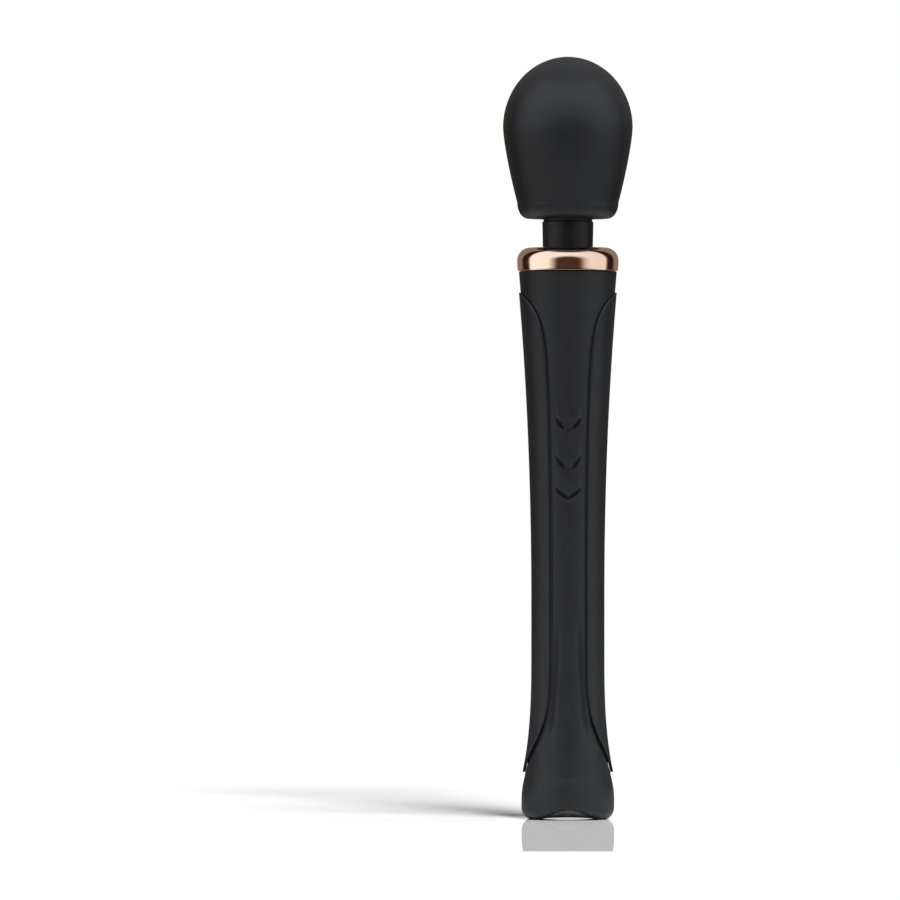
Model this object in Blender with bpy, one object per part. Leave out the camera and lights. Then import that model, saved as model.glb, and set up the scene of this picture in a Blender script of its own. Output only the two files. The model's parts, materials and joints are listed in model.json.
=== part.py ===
"""Handheld cordless wand massager, standing on its base.

Frame: +Z up along the wand's axis, origin at the centre of the footprint on the floor.
The buttons face -Y and +X is the right-hand side seen from the buttons. Metres throughout.
"""

from math import cos, exp, pi, radians, sin, sqrt

import bmesh
import bpy
from mathutils import Matrix, Vector

MM = 0.001

# ---------------------------------------------------------------- driving dimensions
WAND_HEIGHT = 335.2 * MM
GAP = 0.3 * MM  # between pieces that rest on each other
FIT = 0.15 * MM  # between pieces pressed or turned together

# handle
HANDLE_TOP = 240.8 * MM
WAIST_RADIUS = 16.1 * MM
BODY_WAIST_RADIUS = 15.65 * MM
WAIST_TOP = 95 * MM
WAIST_BOTTOM = 75 * MM
BASE_RADIUS = 20.4 * MM
BASE_WIDEST = 8.2 * MM
BASE_TOP = 18.3 * MM
BASE_NECK_RADIUS = 19.1 * MM
SKIN_WALL = 2.15 * MM
SHELL_WALL = 1.7 * MM
SIDE_EDGE_REACH = 4.2 * MM
SIDE_EDGE_HEIGHT = 5.0 * MM
FRONT_EDGE_REACH = 1.5 * MM
FRONT_EDGE_HEIGHT = 1.7 * MM
SKIN_HOLE_RADIUS = 14.2 * MM
SKIN_FLOOR_TOP = 6.6 * MM

# the saddle under the base
ARCH_HALF_WIDTH = 15.8 * MM
ARCH_FRONT = 4.35 * MM
ARCH_MIDDLE = 0.6 * MM
ARCH_POWER = 1.6
FOOT_SHARE = 0.06

# side grips
GRIP_TOP = 231.5 * MM
GRIP_BOTTOM = 20.5 * MM
GRIP_WALL = 1.3 * MM
GRIP_TOP_FLARE = 5.45 * MM
GRIP_BASE_FLARE = 3.9 * MM
BODY_TOP_FLARE = 5.15 * MM
STRIP_HALF_ANGLE = radians(27.4)
TIP_HALF_ANGLE = radians(3)
POCKET_SLOPE = 0.35 * MM
GRIP_GROOVE = 0.45 * MM
TOP_SWEEP = 6.5 * MM
TOP_SWEEP_POWER = 0.78
BASE_SWEEP = 13.4 * MM
BASE_SWEEP_POWER = 1.3

# buttons
BUTTON_HALF_WIDTH = 6.1 * MM
BUTTON_LIP = 0.7 * MM
BUTTON_WALL = 1.3 * MM
BUTTON_NAMES = ("down", "power", "up")
BUTTON_EDGES = (
    # apex height and depth of each V, from the lowest button's lower edge to the highest one's top
    (141.9 * MM, 4.3 * MM),
    (153.6 * MM, 6.8 * MM),
    (171.1 * MM, 5.8 * MM),
    (186.7 * MM, 5.8 * MM),
)
SWITCH_ABOVE_APEX = 6.5 * MM

# collar and neck
COLLAR_BOTTOM = 241.1 * MM
COLLAR_TOP = 251.2 * MM
COLLAR_RADIUS = 22.3 * MM
COLLAR_SHOULDER = 5.6 * MM
COLLAR_OPENING = 13.7 * MM
NECK_TOP_RADIUS = 11.3 * MM
NECK_BOTTOM_RADIUS = 10.9 * MM
NECK_INNER_RADIUS = 8.6 * MM
SIDE_PIVOT = 253.5 * MM
FORE_PIVOT = 261.5 * MM

# head
HEAD_BOTTOM = 264.0 * MM
HEAD_BOTTOM_WALL = 3.8 * MM
HEAD_RADIUS = 28.55 * MM
HEAD_WIDEST = 304.0 * MM
HEAD_TAPER = 6.25 * MM
HEAD_TAPER_POWER = 1.37
HEAD_CORNER_TOP = 271.0 * MM
HEAD_FLAT_RADIUS = 17.5 * MM
HEAD_WALL = 4.0 * MM
HEAD_SHELL_WALL = 2.0 * MM
HEAD_SPLIT = 300.0 * MM

# motor
MOTOR_RADIUS = 12.2 * MM
MOTOR_BOTTOM = 279.0 * MM
MOTOR_TOP = 304.0 * MM
SHAFT_RADIUS = 1.5 * MM

# power and control
CELL_RADIUS = 9.2 * MM
CELL_LENGTH = 50 * MM
CELLS_BOTTOM = 24.4 * MM
BOARD_FRONT = -7.9 * MM
BOARD_THICKNESS = 1.2 * MM
BOARD_BOTTOM = 130 * MM
BOARD_TOP = 192 * MM
BOARD_HALF_WIDTH = 8 * MM

# mesh fineness
ROUND = 32
SMALL_ROUND = 12
SCREW_ROUND = 10
STRIP_STEPS = 14
POCKET_STEPS = 8


# ---------------------------------------------------------------- materials
COLOURS = {
    "soft_black": ((0.025, 0.025, 0.027), 0.55, 0.0),
    "grip_black": ((0.028, 0.028, 0.030), 0.52, 0.0),
    "rose_gold": ((0.83, 0.50, 0.38), 0.12, 1.0),
    "end_cap_grey": ((0.09, 0.09, 0.095), 0.4, 0.0),
    "casing_plastic": ((0.05, 0.05, 0.055), 0.45, 0.0),
    "white_plastic": ((0.75, 0.75, 0.72), 0.4, 0.0),
    "steel": ((0.55, 0.56, 0.58), 0.28, 1.0),
    "motor_steel": ((0.62, 0.62, 0.60), 0.35, 1.0),
    "brass": ((0.72, 0.52, 0.22), 0.3, 1.0),
    "gold_contact": ((0.90, 0.68, 0.28), 0.2, 1.0),
    "magnet_grey": ((0.18, 0.18, 0.19), 0.4, 0.6),
    "board_green": ((0.02, 0.16, 0.07), 0.4, 0.0),
    "chip_black": ((0.02, 0.02, 0.022), 0.35, 0.0),
    "cell_blue": ((0.04, 0.14, 0.35), 0.35, 0.0),
    "seal_rubber": ((0.015, 0.015, 0.015), 0.7, 0.0),
    "wire_red": ((0.55, 0.02, 0.02), 0.45, 0.0),
    "wire_black": ((0.02, 0.02, 0.02), 0.45, 0.0),
}


def make_materials():
    made = {}
    for name, (colour, roughness, metallic) in COLOURS.items():
        found = bpy.data.materials.new(name)
        found.use_nodes = True
        shader = found.node_tree.nodes["Principled BSDF"]
        shader.inputs["Base Color"].default_value = (*colour, 1.0)
        shader.inputs["Roughness"].default_value = roughness
        shader.inputs["Metallic"].default_value = metallic
        found.diffuse_color = (*colour, 1.0)
        made[name] = found
    return made


# ---------------------------------------------------------------- scene helpers
def clear_scene():
    for obj in list(bpy.data.objects):
        bpy.data.objects.remove(obj, do_unlink=True)


def body_empty(name, location=(0, 0, 0), parent=None):
    """An empty on a joint's axis, which the pieces of one moving body hang from."""
    empty = bpy.data.objects.new(name, None)
    bpy.context.scene.collection.objects.link(empty)
    place_on(empty, parent)
    empty.matrix_world = Matrix.Translation(location)
    return empty


def place_on(obj, parent):
    """Parents obj without moving it: its own coordinates stay those of the wand."""
    bpy.context.view_layer.update()
    if parent is not None:
        obj.parent = parent
        obj.matrix_parent_inverse = parent.matrix_world.inverted()


def add_mesh(name, bm, material, parent=None, smooth_angle=35):
    bmesh.ops.remove_doubles(bm, verts=bm.verts, dist=0.001 * MM)
    on_axis = [e for e in bm.edges if not e.link_faces]
    bmesh.ops.delete(bm, geom=on_axis, context="EDGES")
    bmesh.ops.recalc_face_normals(bm, faces=bm.faces)
    mesh = bpy.data.meshes.new(name)
    bm.to_mesh(mesh)
    bm.free()
    mesh.shade_smooth()
    mesh.set_sharp_from_angle(angle=radians(smooth_angle))
    obj = bpy.data.objects.new(name, mesh)
    bpy.context.scene.collection.objects.link(obj)
    if material:
        mesh.materials.append(MATERIALS[material])
    place_on(obj, parent)
    return obj


def boolean(obj, operation, tool):
    """Cuts or joins tool into obj, then hides the tool so that it isn't a piece of its own."""
    modifier = obj.modifiers.new(f"{operation.lower()}_{tool.name}", "BOOLEAN")
    modifier.operation = operation
    modifier.solver = "EXACT"
    modifier.object = tool
    tool.hide_render = True
    tool.display_type = "WIRE"


# ---------------------------------------------------------------- shape helpers
def turned(name, outline, material, parent=None, steps=ROUND):
    """A solid turned about Z from a closed outline of (radius, height) points."""
    bm = bmesh.new()
    loop = [bm.verts.new((r, 0, z)) for r, z in outline]
    edges = [bm.edges.new((a, b)) for a, b in zip(loop, loop[1:] + loop[:1])]
    bmesh.ops.spin(
        bm,
        geom=loop + edges,
        cent=(0, 0, 0),
        axis=(0, 0, 1),
        angle=2 * pi,
        steps=steps,
        use_merge=True,
    )
    bmesh.ops.dissolve_degenerate(bm, dist=0.001 * MM, edges=bm.edges)
    return add_mesh(name, bm, material, parent)


def ring_outline(inner, outer, bottom, top):
    return [(inner, bottom), (outer, bottom), (outer, top), (inner, top)]


def disc_outline(radius, bottom, top):
    return ring_outline(0.0, radius, bottom, top)


def block(name, centre, size, material, parent=None):
    bm = bmesh.new()
    bmesh.ops.create_cube(bm, size=1.0)
    bmesh.ops.scale(bm, vec=size, verts=bm.verts)
    bmesh.ops.translate(bm, vec=centre, verts=bm.verts)
    return add_mesh(name, bm, material, parent)


def rod(name, start, end, radius, material=None, parent=None, steps=SMALL_ROUND):
    """A plain cylinder between two points."""
    start, end = Vector(start), Vector(end)
    along = end - start
    bm = bmesh.new()
    bmesh.ops.create_cone(
        bm, cap_ends=True, segments=steps, radius1=radius, radius2=radius, depth=along.length
    )
    turn = along.to_track_quat("Z", "Y").to_matrix().to_4x4()
    bmesh.ops.transform(bm, matrix=Matrix.Translation((start + end) / 2) @ turn, verts=bm.verts)
    return add_mesh(name, bm, material, parent)


def strips(bm, rings, wrap):
    """Faces between each ring of vertices and the next; each ring is a closed loop."""
    pairs = list(zip(rings, rings[1:] + rings[:1] if wrap else rings[1:]))
    for ring, other in pairs:
        count = len(ring)
        for i in range(count):
            j = (i + 1) % count
            bm.faces.new((ring[i], ring[j], other[j], other[i]))


def tube_of_rings(name, rings, material, parent=None):
    """A solid whose surface runs through all the rings and back to the first, round a hole."""
    bm = bmesh.new()
    strips(bm, [[bm.verts.new(p) for p in ring] for ring in rings], wrap=True)
    return add_mesh(name, bm, material, parent)


def bar_of_sections(name, sections, material, parent=None):
    """A solid through a row of closed sections, capped at both ends."""
    bm = bmesh.new()
    rings = [[bm.verts.new(p) for p in section] for section in sections]
    strips(bm, rings, wrap=False)
    bm.faces.new(rings[0])
    bm.faces.new(rings[-1])
    bmesh.ops.triangulate(bm, faces=[f for f in bm.faces if len(f.verts) > 4])
    return add_mesh(name, bm, material, parent)


def screw(name, tip, head, head_radius, shank_radius, parent=None):
    """A pan-head screw from the shank's tip to the underside of its head, with a drive recess."""
    tip, head = Vector(tip), Vector(head)
    along = head - tip
    length, thick = along.length, 0.75 * head_radius
    outline = [
        (0, 0),
        (shank_radius, shank_radius),
        (shank_radius, length),
        (head_radius, length),
        (head_radius, length + 0.6 * thick),
        (0.7 * head_radius, length + thick),
        (0.35 * head_radius, length + thick),
        (0, length + 0.45 * thick),
    ]
    obj = turned(name, outline, "steel", None, SCREW_ROUND)
    turn = along.to_track_quat("Z", "Y").to_matrix().to_4x4()
    obj.matrix_world = Matrix.Translation(tip) @ turn
    place_on(obj, parent)
    return obj


def wire(name, points, radius, material, parent=None, resolution=1):
    """A round wire on one smooth curve through the points."""
    curve = bpy.data.curves.new(name, "CURVE")
    curve.dimensions = "3D"
    curve.bevel_depth = radius
    curve.bevel_resolution = resolution
    curve.use_fill_caps = True
    smooth = through(points)
    spline = curve.splines.new("POLY")
    spline.points.add(len(smooth) - 1)
    for point, place in zip(spline.points, smooth):
        point.co = (*place, 1.0)
    curve.materials.append(MATERIALS[material])
    obj = bpy.data.objects.new(name, curve)
    bpy.context.scene.collection.objects.link(obj)
    place_on(obj, parent)
    return obj


def through(points, steps=4):
    """Points along a Catmull-Rom curve through the given ones."""
    points = [Vector(p) for p in points]
    padded = [2 * points[0] - points[1], *points, 2 * points[-1] - points[-2]]
    found = []
    for a, b, c, d in zip(padded, padded[1:], padded[2:], padded[3:]):
        for i in range(steps):
            t = i / steps
            pull = (2 * b) + (c - a) * t
            bend = (2 * a - 5 * b + 4 * c - d) * t**2 + (3 * b - a - 3 * c + d) * t**3
            found.append((pull + bend) / 2)
    return found + [points[-1]]


def spread(low, high, steps):
    return [low + (high - low) * i / steps for i in range(steps + 1)]


def arc(centre, radius_r, radius_z, start, end, steps):
    """Outline points on an ellipse arc about centre, start and end in degrees from +r."""
    turns = [radians(start + (end - start) * i / steps) for i in range(steps + 1)]
    return [(centre[0] + radius_r * cos(a), centre[1] + radius_z * sin(a)) for a in turns]


# ---------------------------------------------------------------- outlines of the handle
def flare(start, end, z, power):
    """0 until start, then a power curve to 1 at end."""
    return max(0.0, (z - start) / (end - start)) ** power


def envelope_radius(z):
    """The side silhouette: the outer face of the grips."""
    top = GRIP_TOP_FLARE * flare(WAIST_TOP, GRIP_TOP, z, 2.1)
    base = GRIP_BASE_FLARE * flare(WAIST_BOTTOM, GRIP_BOTTOM, z, 3.0)
    return WAIST_RADIUS + top + base


def body_radius(z):
    """The face of the front and back strips, the top band and the barrel-shaped base."""
    if z < BASE_TOP:
        drop = (BASE_RADIUS - BASE_NECK_RADIUS) * ((z - BASE_WIDEST) / (BASE_TOP - BASE_WIDEST)) ** 2
        return BASE_RADIUS - (drop if z > BASE_WIDEST else 0.0)
    top = BODY_TOP_FLARE * flare(WAIST_TOP, GRIP_TOP, z, 2.1)
    base = (BASE_NECK_RADIUS - BODY_WAIST_RADIUS) * flare(WAIST_BOTTOM, BASE_TOP, z, 3.2)
    return BODY_WAIST_RADIUS + top + base


def strip_half_angle(z):
    """Half the angle that the front strip, between the two grips, takes at this height."""
    above, below = max(0.0, GRIP_TOP - z), max(0.0, z - GRIP_BOTTOM)
    sweep = exp(-((above / TOP_SWEEP) ** TOP_SWEEP_POWER))
    sweep += exp(-((below / BASE_SWEEP) ** BASE_SWEEP_POWER))
    widest = pi / 2 - TIP_HALF_ANGLE
    return STRIP_HALF_ANGLE + (widest - STRIP_HALF_ANGLE) * min(1.0, sweep)


def saddle(x, y):
    """Height of the underside: it arches from left to right, and most at the front and back rims."""
    if abs(x) >= ARCH_HALF_WIDTH:
        return 0.0
    across = cos(pi * x / (2 * ARCH_HALF_WIDTH)) ** ARCH_POWER
    across = max(0.0, (across - FOOT_SHARE) / (1 - FOOT_SHARE))
    outward = min(1.0, (y / SKIN_HOLE_RADIUS) ** 2)
    return across * (ARCH_MIDDLE + (ARCH_FRONT - ARCH_MIDDLE) * outward)


def on_saddle(x, y, z):
    """Lifts a point of the base with the saddle: fully at the floor, not at all at the base's top."""
    return Vector((x, y, z + saddle(x, y) * max(0.0, 1 - z / BASE_TOP)))


def at(angle, radius, z):
    """A point at this angle from the front (-Y), turning towards +X."""
    return Vector((radius * sin(angle), -radius * cos(angle), z))


# ---------------------------------------------------------------- handle pieces
def skin_columns(z):
    """(angle, in a pocket) for each column of the skin: front strip, right pocket, back, left pocket."""
    half = strip_half_angle(z)
    edge = POCKET_SLOPE / body_radius(z)
    found = [(-half + 2 * half * i / STRIP_STEPS, False) for i in range(STRIP_STEPS + 1)]
    low, high = half + edge, pi - half - edge
    found += [(low + (high - low) * i / POCKET_STEPS, True) for i in range(POCKET_STEPS + 1)]
    return found + [(angle + pi, pocket) for angle, pocket in found]


def skin_outer_ring(z, pocket_open):
    """One ring of the skin's outside, sunk under the grips where pocket_open is True."""
    sunk = envelope_radius(z) - GRIP_WALL - GAP
    radii = [sunk if pocket and pocket_open else body_radius(z) for _, pocket in skin_columns(z)]
    points = [at(angle, r, z) for (angle, _), r in zip(skin_columns(z), radii)]
    return [on_saddle(*p) if z < BASE_TOP else p for p in points]


def skin_round_ring(radius, z, lifted=False):
    points = [at(angle, radius, z) for angle, _ in skin_columns(GRIP_TOP)]
    return [on_saddle(*p) if lifted else p for p in points]


def floor_edge_ring(turn):
    """One ring round the bottom edge, which is full at the sides and tight at the front and back."""
    points = []
    for angle, _ in skin_columns(GRIP_TOP):
        sideways = sin(angle) ** 2
        reach = FRONT_EDGE_REACH + (SIDE_EDGE_REACH - FRONT_EDGE_REACH) * sideways
        height = FRONT_EDGE_HEIGHT + (SIDE_EDGE_HEIGHT - FRONT_EDGE_HEIGHT) * sideways
        points.append(on_saddle(*at(angle, BASE_RADIUS - reach * (1 - cos(turn)), height * (1 - sin(turn)))))
    return points


FLOOR_EDGE_STEPS = 4
SHELL_FLOOR_TOP = 9.4 * MM
INSIDE_HEIGHTS = (SHELL_FLOOR_TOP, *(z * MM for z in (15, 22, 32, 48, 75, 120, 165, 205)))


def handle_skin(parent):
    """The one-piece silicone skin, with a pocket for each grip and the saddle under the base."""
    pocket_heights = [GRIP_TOP - d * MM for d in (0, 1.5, 4, 8, 13, 20, 30, 45, 70, 100)]
    pocket_heights += [GRIP_BOTTOM + d * MM for d in (75, 54, 40, 30, 22, 15, 9, 4, 1.5, 0)]
    rings = [skin_outer_ring(z, False) for z in (HANDLE_TOP, HANDLE_TOP - 4 * MM, GRIP_TOP + FIT)]
    rings += [skin_outer_ring(z, True) for z in pocket_heights]
    rings += [skin_outer_ring(z, False) for z in (GRIP_BOTTOM - FIT, BASE_TOP, 14 * MM, 10 * MM)]
    rings += [floor_edge_ring(radians(turn)) for turn in spread(0, 90, FLOOR_EDGE_STEPS)]
    rings.append(skin_round_ring(SKIN_HOLE_RADIUS, 0.0, lifted=True))
    rings.append(skin_round_ring(SKIN_HOLE_RADIUS, SKIN_FLOOR_TOP))
    for z in (SKIN_FLOOR_TOP, *INSIDE_HEIGHTS, HANDLE_TOP):
        rings.append(skin_round_ring(body_radius(z) - SKIN_WALL, z))
    skin = tube_of_rings("handle_skin", rings, "soft_black", parent)
    boolean(skin, "DIFFERENCE", button_window())
    return skin


def grip(name, side, parent):
    """A leaf-shaped soft grip; side is +1 on the right and -1 on the left."""
    heights = [GRIP_TOP - d * MM for d in (0.3, 1.5, 4, 8, 13, 20, 30, 45, 70, 100)]
    heights += [GRIP_BOTTOM + d * MM for d in (75, 54, 40, 30, 22, 15, 9, 4, 1.5, 0.3)]
    sections = []
    for z in heights:
        outer = envelope_radius(z)
        low = strip_half_angle(z) + (POCKET_SLOPE + GRIP_GROOVE) / outer
        angles = [low + (pi - 2 * low) * i / POCKET_STEPS for i in range(POCKET_STEPS + 1)]
        bevel = 0.5 * MM
        radii = [outer - bevel] + [outer] * (POCKET_STEPS - 1) + [outer - bevel]
        section = [at(side * a, r, z) for a, r in zip(angles, radii)]
        section += [at(side * a, outer - GRIP_WALL, z) for a in reversed(angles)]
        sections.append(section)
    return bar_of_sections(name, sections, "grip_black", parent)


def half_tube(name, side, profile, material, parent, steps=12):
    """Half a tube on the front (side -1) or back (side +1), through (height, outer, inner) radii."""
    middle = 0.0 if side < 0 else pi
    sections = []
    for z, outer, inner in profile:
        reach = pi / 2 - GAP / 2 / outer
        angles = [middle - reach + 2 * reach * i / steps for i in range(steps + 1)]
        inset = pi / 2 - GAP / 2 / inner
        within = [middle + inset - 2 * inset * i / steps for i in range(steps + 1)]
        section = [at(a, outer, z) for a in angles] + [at(a, inner, z) for a in within]
        sections.append(section)
    return bar_of_sections(name, sections, material, parent)


SHELL_BOTTOM = 6.9 * MM
SHELL_TOP = 238.2 * MM
SHELL_FLOOR_HOLE = 6.0 * MM
CAP_SCREW_RADIUS = 15.2 * MM
CAP_SCREW_ANGLES = (radians(186), radians(6))
SEAM_SCREW_X = 8.6 * MM
SEAM_SCREW_HEIGHT = 212 * MM
END_SCREW_Y = 8.6 * MM


def shell_outer(z):
    return body_radius(z) - SKIN_WALL - GAP


def shell_inner(z):
    return shell_outer(z) - SHELL_WALL


def casing_shell(name, side, parent):
    """One half of the hard inner casing, with its floor, screw posts and openings."""
    floor = [(z, shell_outer(z), SHELL_FLOOR_HOLE) for z in (SHELL_BOTTOM, SHELL_FLOOR_TOP)]
    wall = [(z, shell_outer(z), shell_inner(z)) for z in (*INSIDE_HEIGHTS, SHELL_TOP)]
    shell = half_tube(name, side, floor + wall, "casing_plastic", parent)
    join_seam_posts(shell, name, side)
    join_cap_posts(shell, name, side)
    post = (0, side * END_SCREW_Y, SHELL_FLOOR_TOP - 0.5 * MM)
    boolean(shell, "UNION", rod(f"{name}_end_post", post, (0, post[1], 15 * MM), 2.6 * MM))
    hole = (0, post[1], SHELL_BOTTOM - MM)
    boolean(shell, "DIFFERENCE", rod(f"{name}_end_hole", hole, (0, post[1], 14 * MM), 1.35 * MM))
    return shell


def join_seam_posts(shell, name, side):
    """Two posts near the top, where screws draw the halves together."""
    z = SEAM_SCREW_HEIGHT
    thick = 3.0 * MM
    wall = sqrt((shell_outer(z) - GAP) ** 2 - (SEAM_SCREW_X + thick) ** 2)
    for x in (-SEAM_SCREW_X, SEAM_SCREW_X):
        label = f"{name}_{'left' if x < 0 else 'right'}"
        post = rod(f"{label}_post", (x, side * GAP / 2, z), (x, side * wall, z), thick)
        boolean(shell, "UNION", post)
        deep = side * (wall - 2.2 * MM if side < 0 else wall + 3 * MM)
        hole = rod(f"{label}_hole", (x, -side * MM, z), (x, deep, z), 1.35 * MM)
        boolean(shell, "DIFFERENCE", hole)
        if side > 0:
            seat = rod(f"{label}_seat", (x, SEAM_HEAD_Y, z), (x, wall + 5 * MM, z), 2.1 * MM)
            boolean(shell, "DIFFERENCE", seat)


SEAM_HEAD_Y = 7.5 * MM


def join_cap_posts(shell, name, side):
    """Posts inside the top rim, for the screws that hold the top cap."""
    for i, angle in enumerate(CAP_SCREW_ANGLES):
        if (cos(angle) > 0) != (side < 0):
            continue
        low, high = (at(angle, CAP_SCREW_RADIUS, z) for z in (226 * MM, SHELL_TOP - 0.2 * MM))
        boolean(shell, "UNION", rod(f"{name}_cap_post_{i}", low, high, 2.4 * MM))
        low, high = (at(angle, CAP_SCREW_RADIUS, z) for z in (228 * MM, SHELL_TOP + MM))
        boolean(shell, "DIFFERENCE", rod(f"{name}_cap_hole_{i}", low, high, 1.25 * MM))


def casing(parent):
    front = casing_shell("front_shell", -1, parent)
    cut_front_shell(front, parent)
    casing_shell("rear_shell", 1, parent)
    for hand, label in ((-1, "left"), (1, "right")):
        x = hand * SEAM_SCREW_X
        tip, head = (x, -6.5 * MM, SEAM_SCREW_HEIGHT), (x, SEAM_HEAD_Y + GAP, SEAM_SCREW_HEIGHT)
        screw(f"shell_screw_{label}", tip, head, 1.9 * MM, 1.15 * MM, parent)


BOARD_POST_HEIGHTS = (134 * MM, 188 * MM)


def cut_front_shell(shell, parent):
    """The opening for the button stems, and the two posts that the control board is screwed to."""
    low, high = (switch_height(i) for i in (0, len(BUTTON_NAMES) - 1))
    size = (7 * MM, 8 * MM, high - low + 8 * MM)
    boolean(shell, "DIFFERENCE", block("stem_opening", (0, -14 * MM, (low + high) / 2), size, None))
    for i, z in enumerate(BOARD_POST_HEIGHTS):
        wall = shell_inner(z) + 0.8 * MM
        post = rod(f"board_post_{i}", (0, -wall, z), (0, BOARD_FRONT - GAP, z), 2.4 * MM)
        boolean(shell, "UNION", post)
        hole = rod(f"board_post_hole_{i}", (0, 2.2 * MM - wall, z), (0, BOARD_FRONT + MM, z), 1.1 * MM)
        boolean(shell, "DIFFERENCE", hole)


# ---------------------------------------------------------------- buttons
def chevron_edge(x, index):
    """Height of one of the V-shaped edges, whose apexes point down, counted from the lowest."""
    apex, depth = BUTTON_EDGES[index]
    return apex + depth * abs(x) / BUTTON_HALF_WIDTH


def switch_height(index):
    return BUTTON_EDGES[index][0] + SWITCH_ABOVE_APEX


def button_window():
    """A cutter shaped like the three stacked chevrons, through the front strip."""
    half, top = BUTTON_HALF_WIDTH + GAP, len(BUTTON_NAMES)
    outline = [(x, chevron_edge(x, 0) - GAP) for x in (-half, 0, half)]
    outline += [(x, chevron_edge(x, top)) for x in (half, 0, -half)]
    bm = bmesh.new()
    face = bm.faces.new([bm.verts.new((x, -22 * MM, z)) for x, z in outline])
    moved = bmesh.ops.extrude_face_region(bm, geom=[face])["geom"]
    bmesh.ops.translate(
        bm, vec=(0, 10 * MM, 0), verts=[v for v in moved if isinstance(v, bmesh.types.BMVert)]
    )
    bmesh.ops.triangulate(bm, faces=bm.faces)
    return add_mesh("button_window", bm, None)


def button(name, index, parent):
    """A chevron that lies flush at its top edge and stands proud at its V-shaped lower lip."""
    columns, rows = 8, 5
    outside, inside = [], []
    for j in range(rows + 1):
        share = 1 - j / rows
        front_row, back_row = [], []
        for i in range(columns + 1):
            x = BUTTON_HALF_WIDTH * (2 * i / columns - 1)
            low, high = chevron_edge(x, index), chevron_edge(x, index + 1) - GAP
            z = low + (high - low) * (1 - share)
            proud = body_radius(z) + BUTTON_LIP * share**2 * (1 - 0.5 * (x / BUTTON_HALF_WIDTH) ** 4)
            front_row.append(Vector((x, -sqrt(proud**2 - x**2), z)))
            back_row.append(Vector((x, -sqrt((body_radius(z) - BUTTON_WALL) ** 2 - x**2), z)))
        outside.append(front_row)
        inside.append(back_row)
    sections = [front + back[::-1] for front, back in zip(outside, inside)]
    cap = bar_of_sections(name, sections, "soft_black", parent)
    z = switch_height(index)
    stem_back, stem_front = SWITCH_FRONT - GAP, BUTTON_WALL - body_radius(z) - 0.5 * MM
    centre = (0, (stem_back + stem_front) / 2, z)
    size = (4.4 * MM, stem_back - stem_front, 4.4 * MM)
    boolean(cap, "UNION", block(f"{name}_stem", centre, size, None, parent))
    return cap


SWITCH_BODY_FRONT = BOARD_FRONT - 3.2 * MM
SWITCH_FRONT = SWITCH_BODY_FRONT - 0.9 * MM


def button_set(root):
    for i, label in enumerate(BUTTON_NAMES):
        z = switch_height(i)
        guide = body_empty(f"{label}_button_guide", (0, 0, z), root)
        button(f"{label}_button", i, guide)
        start, end = (0, SWITCH_FRONT, z), (0, SWITCH_BODY_FRONT + 1.0 * MM, z)
        rod(f"{label}_switch_plunger", start, end, 1.3 * MM, "white_plastic", guide, 12)
        centre = (0, (SWITCH_BODY_FRONT + BOARD_FRONT - GAP) / 2, z)
        size = (5.0 * MM, BOARD_FRONT - GAP - SWITCH_BODY_FRONT, 5.0 * MM)
        body = block(f"{label}_switch", centre, size, "chip_black", root)
        floor = (0, SWITCH_BODY_FRONT + 1.9 * MM, z)
        mouth = (0, SWITCH_BODY_FRONT - MM, z)
        boolean(body, "DIFFERENCE", rod(f"{label}_switch_bore", mouth, floor, 1.6 * MM, None, None, 12))


# ---------------------------------------------------------------- control board and battery
def control_board(root):
    centre_z = (BOARD_BOTTOM + BOARD_TOP) / 2
    centre = (0, BOARD_FRONT + BOARD_THICKNESS / 2, centre_z)
    size = (2 * BOARD_HALF_WIDTH, BOARD_THICKNESS, BOARD_TOP - BOARD_BOTTOM)
    board = block("control_board", centre, size, "board_green", root)
    back = BOARD_FRONT + BOARD_THICKNESS
    for i, z in enumerate(BOARD_POST_HEIGHTS):
        hole = rod(f"board_hole_{i}", (0, back + MM, z), (0, BOARD_FRONT - MM, z), 1.3 * MM)
        boolean(board, "DIFFERENCE", hole)
        label = ("lower", "upper")[i]
        tip, head = (0, -10.1 * MM, z), (0, back + GAP, z)
        screw(f"board_screw_{label}", tip, head, 1.9 * MM, 0.85 * MM, root)
    deep = 1.6 * MM
    chip = (0, back + GAP + deep / 2, 158 * MM)
    block("control_chip", chip, (7 * MM, deep, 7 * MM), "chip_black", root)


CRADLE_RADIUS = 11.0 * MM
CRADLE_INNER = CELL_RADIUS + GAP


def battery(root):
    """Two cells end to end in a half-round cradle, with a contact at each end and a link between."""
    bottom = CELLS_BOTTOM
    cap_radius, cap_height, shoulder = 3.2 * MM, 1.2 * MM, 0.8 * MM
    for label in ("lower", "upper"):
        top = bottom + CELL_LENGTH
        outline = [
            (0, bottom),
            (CELL_RADIUS - shoulder, bottom),
            (CELL_RADIUS, bottom + shoulder),
            (CELL_RADIUS, top - cap_height - shoulder),
            (CELL_RADIUS - shoulder, top - cap_height),
            (cap_radius, top - cap_height),
            (cap_radius, top),
            (0, top),
        ]
        turned(f"battery_cell_{label}", outline, "cell_blue", root, 24)
        bottom = top + GAP
    cells_top = bottom - GAP
    contact_thick = 0.5 * MM
    contacts = (("lower", CELLS_BOTTOM - GAP - contact_thick), ("upper", cells_top + GAP))
    for label, z in contacts:
        outline = disc_outline(5 * MM, z, z + contact_thick)
        turned(f"battery_contact_{label}", outline, "steel", root, SMALL_ROUND)
    low, high = contacts[0][1] - GAP, contacts[1][1] + contact_thick + GAP
    end_wall, around_lead = 1.5 * MM, 1.0 * MM
    profile = [(z, CRADLE_RADIUS, around_lead) for z in (low - end_wall, low)]
    profile += [(z, CRADLE_RADIUS, CRADLE_INNER) for z in (low, high)]
    profile += [(z, CRADLE_RADIUS, around_lead) for z in (high, high + end_wall)]
    half_tube("battery_cradle", 1, profile, "white_plastic", root)


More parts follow.
